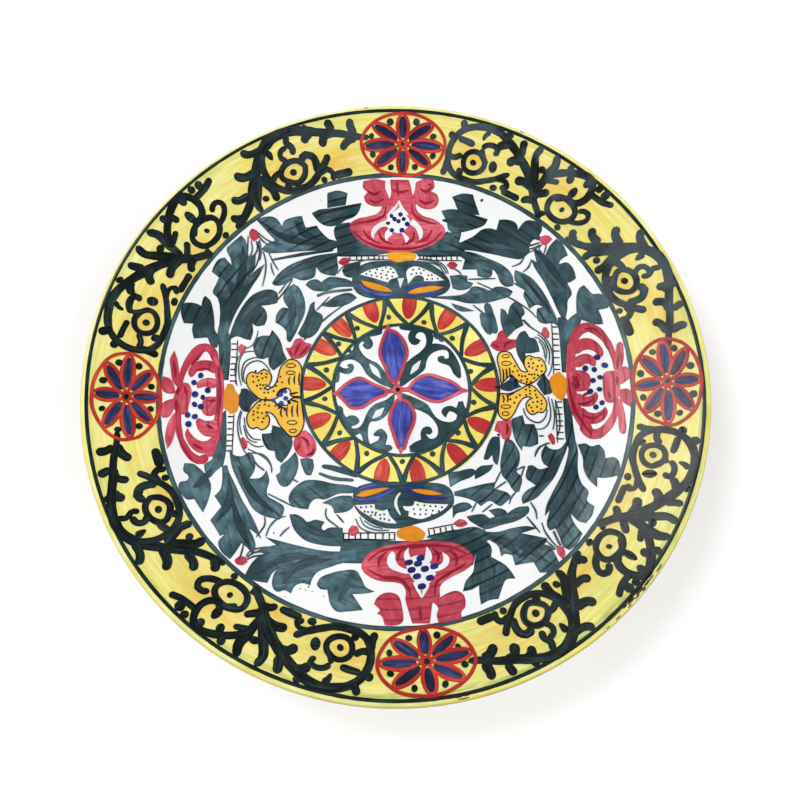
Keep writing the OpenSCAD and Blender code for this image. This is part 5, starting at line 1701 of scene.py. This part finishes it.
# The left bow is painted with the right bow's spots, shifted and turned over
LEFT_SPOT_SHIFT = (2.0, -5.5)
BOW_RINGS = [(54.7, 17.5, 3.6, 1.8), (55, 13.7, 5, 2.2), (54, -8.7, 5, 1.8), (53.7, -12.3, 3.5, 2),
             (-52, 12.5, 5, 2), (-52, 8.8, 4.6, 1.8), (-50.5, -16.8, 5, 2), (-50, -21, 3.6, 1.8)]
BOW_HATCH = [
    [(53, 4), (53.4, 8), (53, 11)], [(54.6, 5.6), (55, 8.4), (54.6, 11)],
    [(56.4, 7.8), (56.6, 9.6), (56.2, 11.6)],
    [(52.4, -2.6), (53.2, -5), (52.6, -6.6)], [(54.6, -2.4), (55.2, -4.6), (54.8, -6.4)],
    [(-47.5, 2), (-47.8, 6), (-47.4, 9)], [(-49.8, 2.6), (-50.2, 5.4), (-49.8, 7.6)],
    [(-52.4, 2.4), (-52.8, 4.6), (-52.4, 6.8)], [(-48, -7), (-48.2, -11), (-47.6, -14)],
    [(-50.4, -8), (-50.8, -11), (-50.2, -14)], [(-53, -8.6), (-53.4, -11.4), (-52.8, -14)],
    [(-55.8, -9.2), (-56.2, -12), (-55.4, -14.4)],
]
BOW_KNOTS = [
    [(69.5, 3), (71.5, 6), (73.5, 8.5), (75.5, 5), (77.5, 3.5), (78.3, 1), (77, -1.5), (73, -2.8),
     (71.5, -0.5)],
    [(-78, -4.5), (-76.5, -2), (-76, 0.5), (-73.5, 0.5), (-70, -2.5), (-66.5, -4.5), (-70, -7),
     (-72, -11.5), (-74.5, -11), (-76.5, -8.5)],
    [(51.5, 2.6), (54, 3.8), (57, 6), (60, 3.4), (62, 1.6), (59, 0.4), (56, -0.8), (52, 0)],
]
BOW_STROKES = [
    ([(-58.6, -3.4), (-56.5, -0.4), (-53.4, 0.9)], 1.6), ([(-59.5, -6), (-57, -8.6), (-53.6, -9.8)], 1.2),
    ([(-57.6, -7), (-56.2, -8.6)], 2.4), ([(-53, -5.4), (-51.6, -7.4)], 1.8),
    ([(-52.4, -2.4), (-48, -1.4)], 1.0),
    ([(-52, -5), (-47.4, -6.6)], 1.0), ([(-51.6, -3.2), (-47, -4.6)], 0.9),
    ([(56.4, 8), (58, 5.4), (60.6, 3)], 1.8),
    ([(52, 1), (48.8, 1.4)], 1.2), ([(59.6, 2.2), (56.4, 1.2)], 1.6),
    ([(60.4, 0), (57, -2.2), (54.6, -3.6)], 0.9),
]
BOW_BLUES = [(57.5, 5.4), (57.5, 1.5), (-60, -5.5), (-56.5, -2.5), (-54, -4.5), (-54.5, -1), (-56, -7)]
TULIPS = [
    [(50, 26), (51.5, 30), (53.5, 31.5), (55, 29), (56, 27), (60, 26.3), (60.3, 22.5), (57, 21), (53, 20),
     (50, 20.5), (47, 23), (48.5, 25.3)],
    [(49.5, -16), (56.5, -15.5), (56.3, -21.5), (55, -25.5), (52, -25), (51, -22.5), (48, -21),
     (48.5, -18.5)],
    [(-55, 22), (-52.5, 22), (-50, 26.5), (-47, 27), (-45.5, 25), (-42, 24), (-43, 20.5), (-47, 16.5),
     (-52, 16.3), (-53.5, 19)],
    [(-49.5, -27), (-47.5, -22.5), (-44, -20.5), (-41, -23), (-38.3, -29), (-40, -33.5), (-43.5, -34.3),
     (-47, -33)],
]
TULIP_FOLDS = [
    [(54, 21.4), (55, 24), (58.4, 25.4)], [(51.4, 21.6), (49.6, 23.2), (48.4, 23.6)],
    [(49.2, -22.6), (50.8, -23.4)],
    [(53.4, -25.2), (55, -25.6)], [(54, -17), (54.4, -20.6), (53.4, -23)],
    [(-50.4, 17.6), (-49.4, 21), (-47.6, 24.4)],
    [(-51.4, 18), (-53, 20.4)], [(-48, 17.6), (-45.4, 20.4), (-43.6, 22.8)],
    [(-46, -24), (-43, -26), (-42, -29)],
    [(-43.4, -33), (-40.6, -32.4), (-39.4, -29.6)], [(-47.6, -31), (-46.6, -27)],
]
SMALL_BUDS = [
    [(-29.5, 68.5), (-27.5, 70.8), (-24.5, 71), (-23, 70), (-25.5, 67), (-28, 67.2)],
    [(26, 67), (28, 68.7), (30.5, 68.5), (31.8, 67), (30, 65), (28.5, 64.5)],
    [(27.5, -66), (30, -64.3), (33, -65), (34, -66.5), (31.5, -68), (28.5, -67.5)],
    [(73, 29), (74, 32.7), (75.5, 33), (77, 29.5), (76.5, 27), (74.8, 27.3)],
    [(73.8, -23.5), (75.5, -22), (77, -24), (77.2, -27.5), (76, -28), (74.5, -25.5)],
    [(-78.5, 22.5), (-77, 24), (-74.5, 22.5), (-75, 20), (-76.5, 17.5), (-78, 19.5)],
    [(-75.5, -25), (-74, -24), (-72, -26.5), (-72, -29.5), (-73.3, -30.5), (-75, -28)],
    [(73.7, 79.5), (75, 81), (78, 81), (80, 79), (78, 77), (76, 76.3), (74.5, 77.5)],
    [(-75, 83), (-73.5, 85), (-71, 84), (-70, 81.5), (-72.5, 78.5), (-74.5, 80)],
    [(-74.5, -84.5), (-72.6, -82.6), (-69.4, -83), (-68.6, -85), (-70.6, -86.6), (-73.4, -86.2)],
    [(75, -77.5), (78, -78), (78.5, -82), (77, -84), (75, -81)],
    [(-22.3, -69.6), (-20.6, -67.2), (-18, -68), (-17.2, -70.4), (-19.4, -72.2), (-21.8, -71.6)],
]


def make_bows():
    """Yellow bows with an ink outline and spots, a dark knot, and the tulips beside them."""
    yellow = Coat("bow_petals", 0.14)
    yellow.shapes(BOWS)
    yellow.finish(BOW_YELLOW, "spot_yellow", "spotted_bows")
    ink = Coat("bow_ink", 0.27)
    ink.strokes(BOWS, 0.6, closed=True)
    shift_x, shift_y = LEFT_SPOT_SHIFT
    left = [(-x + shift_x, y + shift_y) for x, y in BOW_SPOTS]
    for x, y in BOW_SPOTS + left:
        ink.dot(x, y, 1.05)
    for x, y, wide, deep in BOW_RINGS:
        ink.stroke(circle(x, y, wide / 2, deep / wide, 0, 10), 0.45, closed=True)
    for points, width in BOW_STROKES:
        ink.stroke(points, width * 0.6, width, width * 0.5)
    ink.finish(INK, "ink")
    hatch = Coat("bow_hatch", 0.27)
    hatch.strokes(BOW_HATCH, 0.5, 0.9, 0.5)
    hatch.finish(BROWN, "ink")
    knots = Coat("bow_knots", 0.24)
    knots.shapes(BOW_KNOTS, tone=0.9)
    knots.finish(LEAF_GREEN, "leaf_green")
    blues = Coat("bow_blue_dots", 0.36)
    blues.dots(BOW_BLUES, 2.4)
    blues.finish(BLUE, "kite_blue")
    buds = Coat("tulips_and_buds", 0.2)
    buds.shapes(TULIPS + SMALL_BUDS)
    buds.finish(ROSE, "rose_red", "tulip_buds")
    folds = Coat("tulip_folds", 0.36)
    folds.strokes(TULIP_FOLDS, 0.5, 1.5, 0.5)
    folds.finish(ROSE_DEEP, "rose_red")


# ---- Camera, floor and light ---------------------------------------------------------------------

def make_floor():
    """Pale, matt, barely mottled floor, wide enough to fill the picture."""
    nodes = Nodes("floor")
    mottle = nodes.noise(nodes.place(), 3.0)
    pale = nodes.mix(mottle, linear(247, 247, 247), linear(250, 250, 250))
    nodes.link(pale, nodes.shader.inputs["Base Color"])
    nodes.shader.inputs["Roughness"].default_value = 0.9
    nodes.shader.inputs["Specular IOR Level"].default_value = 0.1
    nodes.shader.inputs["Emission Color"].default_value = (1.0, 1.0, 1.0, 1.0)
    nodes.shader.inputs["Emission Strength"].default_value = 0.04
    half = 3.0
    floor = add_object("floor", [(-half, -half, 0), (half, -half, 0), (half, half, 0), (-half, half, 0)],
                       [(0, 1, 2, 3)], {}, nodes.material)


def make_room():
    """White room that is dim where the flat well mirrors it, so that the dark glazes stay dark."""
    world = bpy.data.worlds.new("studio")
    world.use_nodes = True
    tree = world.node_tree
    mirrored = tree.nodes.new("ShaderNodeVectorMath")
    mirrored.operation = "DOT_PRODUCT"
    mirrored.inputs[1].default_value = (0.0, 0.33, 0.944)
    tree.links.new(tree.nodes.new("ShaderNodeTexCoord").outputs["Generated"], mirrored.inputs[0])
    strength = tree.nodes.new("ShaderNodeMath")
    strength.operation = "MULTIPLY"
    rise = (0.0, 0.5, 0.3, 1.0)
    fade = (0.58, 0.86, 1.66, 0.2)
    for slot, span in enumerate((rise, fade)):
        ramp = tree.nodes.new("ShaderNodeMapRange")
        for key, value in zip(("From Min", "From Max", "To Min", "To Max"), span):
            ramp.inputs[key].default_value = value
        tree.links.new(mirrored.outputs["Value"], ramp.inputs["Value"])
        tree.links.new(ramp.outputs["Result"], strength.inputs[slot])
    background = tree.nodes["Background"]
    background.inputs["Color"].default_value = (1.0, 1.0, 1.0, 1.0)
    tree.links.new(strength.outputs[0], background.inputs["Strength"])
    bpy.context.scene.world = world


def make_lamps():
    """A soft lamp high at the upper left and a weaker one opposite, both aimed at the plate."""
    for name, place, energy in (("key", (-1.5, 1.2, 2.4), 30.0), ("fill", (1.5, -1.2, 1.5), 11.0)):
        light = bpy.data.lights.new(name, "AREA")
        light.size = 1.4
        light.energy = energy
        lamp = bpy.data.objects.new(name, light)
        lamp.location = place
        lamp.rotation_euler = (-lamp.location).to_track_quat("-Z", "Y").to_euler()
        bpy.context.scene.collection.objects.link(lamp)


def make_camera():
    """Looks steeply down at the floor of the well, with the small shift that frames the plate."""
    elevation = math.radians(72.4)
    distance = 0.5
    data = bpy.data.cameras.new("camera")
    data.lens = 45.7
    data.shift_x = 0.0054
    data.shift_y = -0.0128
    camera = bpy.data.objects.new("camera", data)
    back = Vector((0.0, -math.cos(elevation), math.sin(elevation)))
    camera.location = Vector((0.0, 0.0, FLOOR_Z * MM)) + back * distance
    camera.rotation_euler = (math.radians(90) - elevation, 0.0, 0.0)
    bpy.context.scene.collection.objects.link(camera)
    bpy.context.scene.camera = camera
    bpy.context.scene.view_settings.view_transform = "Standard"


make_glazes()
make_foot()
make_ring_lines()
make_wear()
make_rosettes()
make_vine()
make_medallion_border()
make_kites()
make_scrolls()
make_leaves()
make_hairlines()
make_ribbons()
make_flowers()
make_pods()
make_bows()
make_floor()
make_room()
make_lamps()
make_camera()
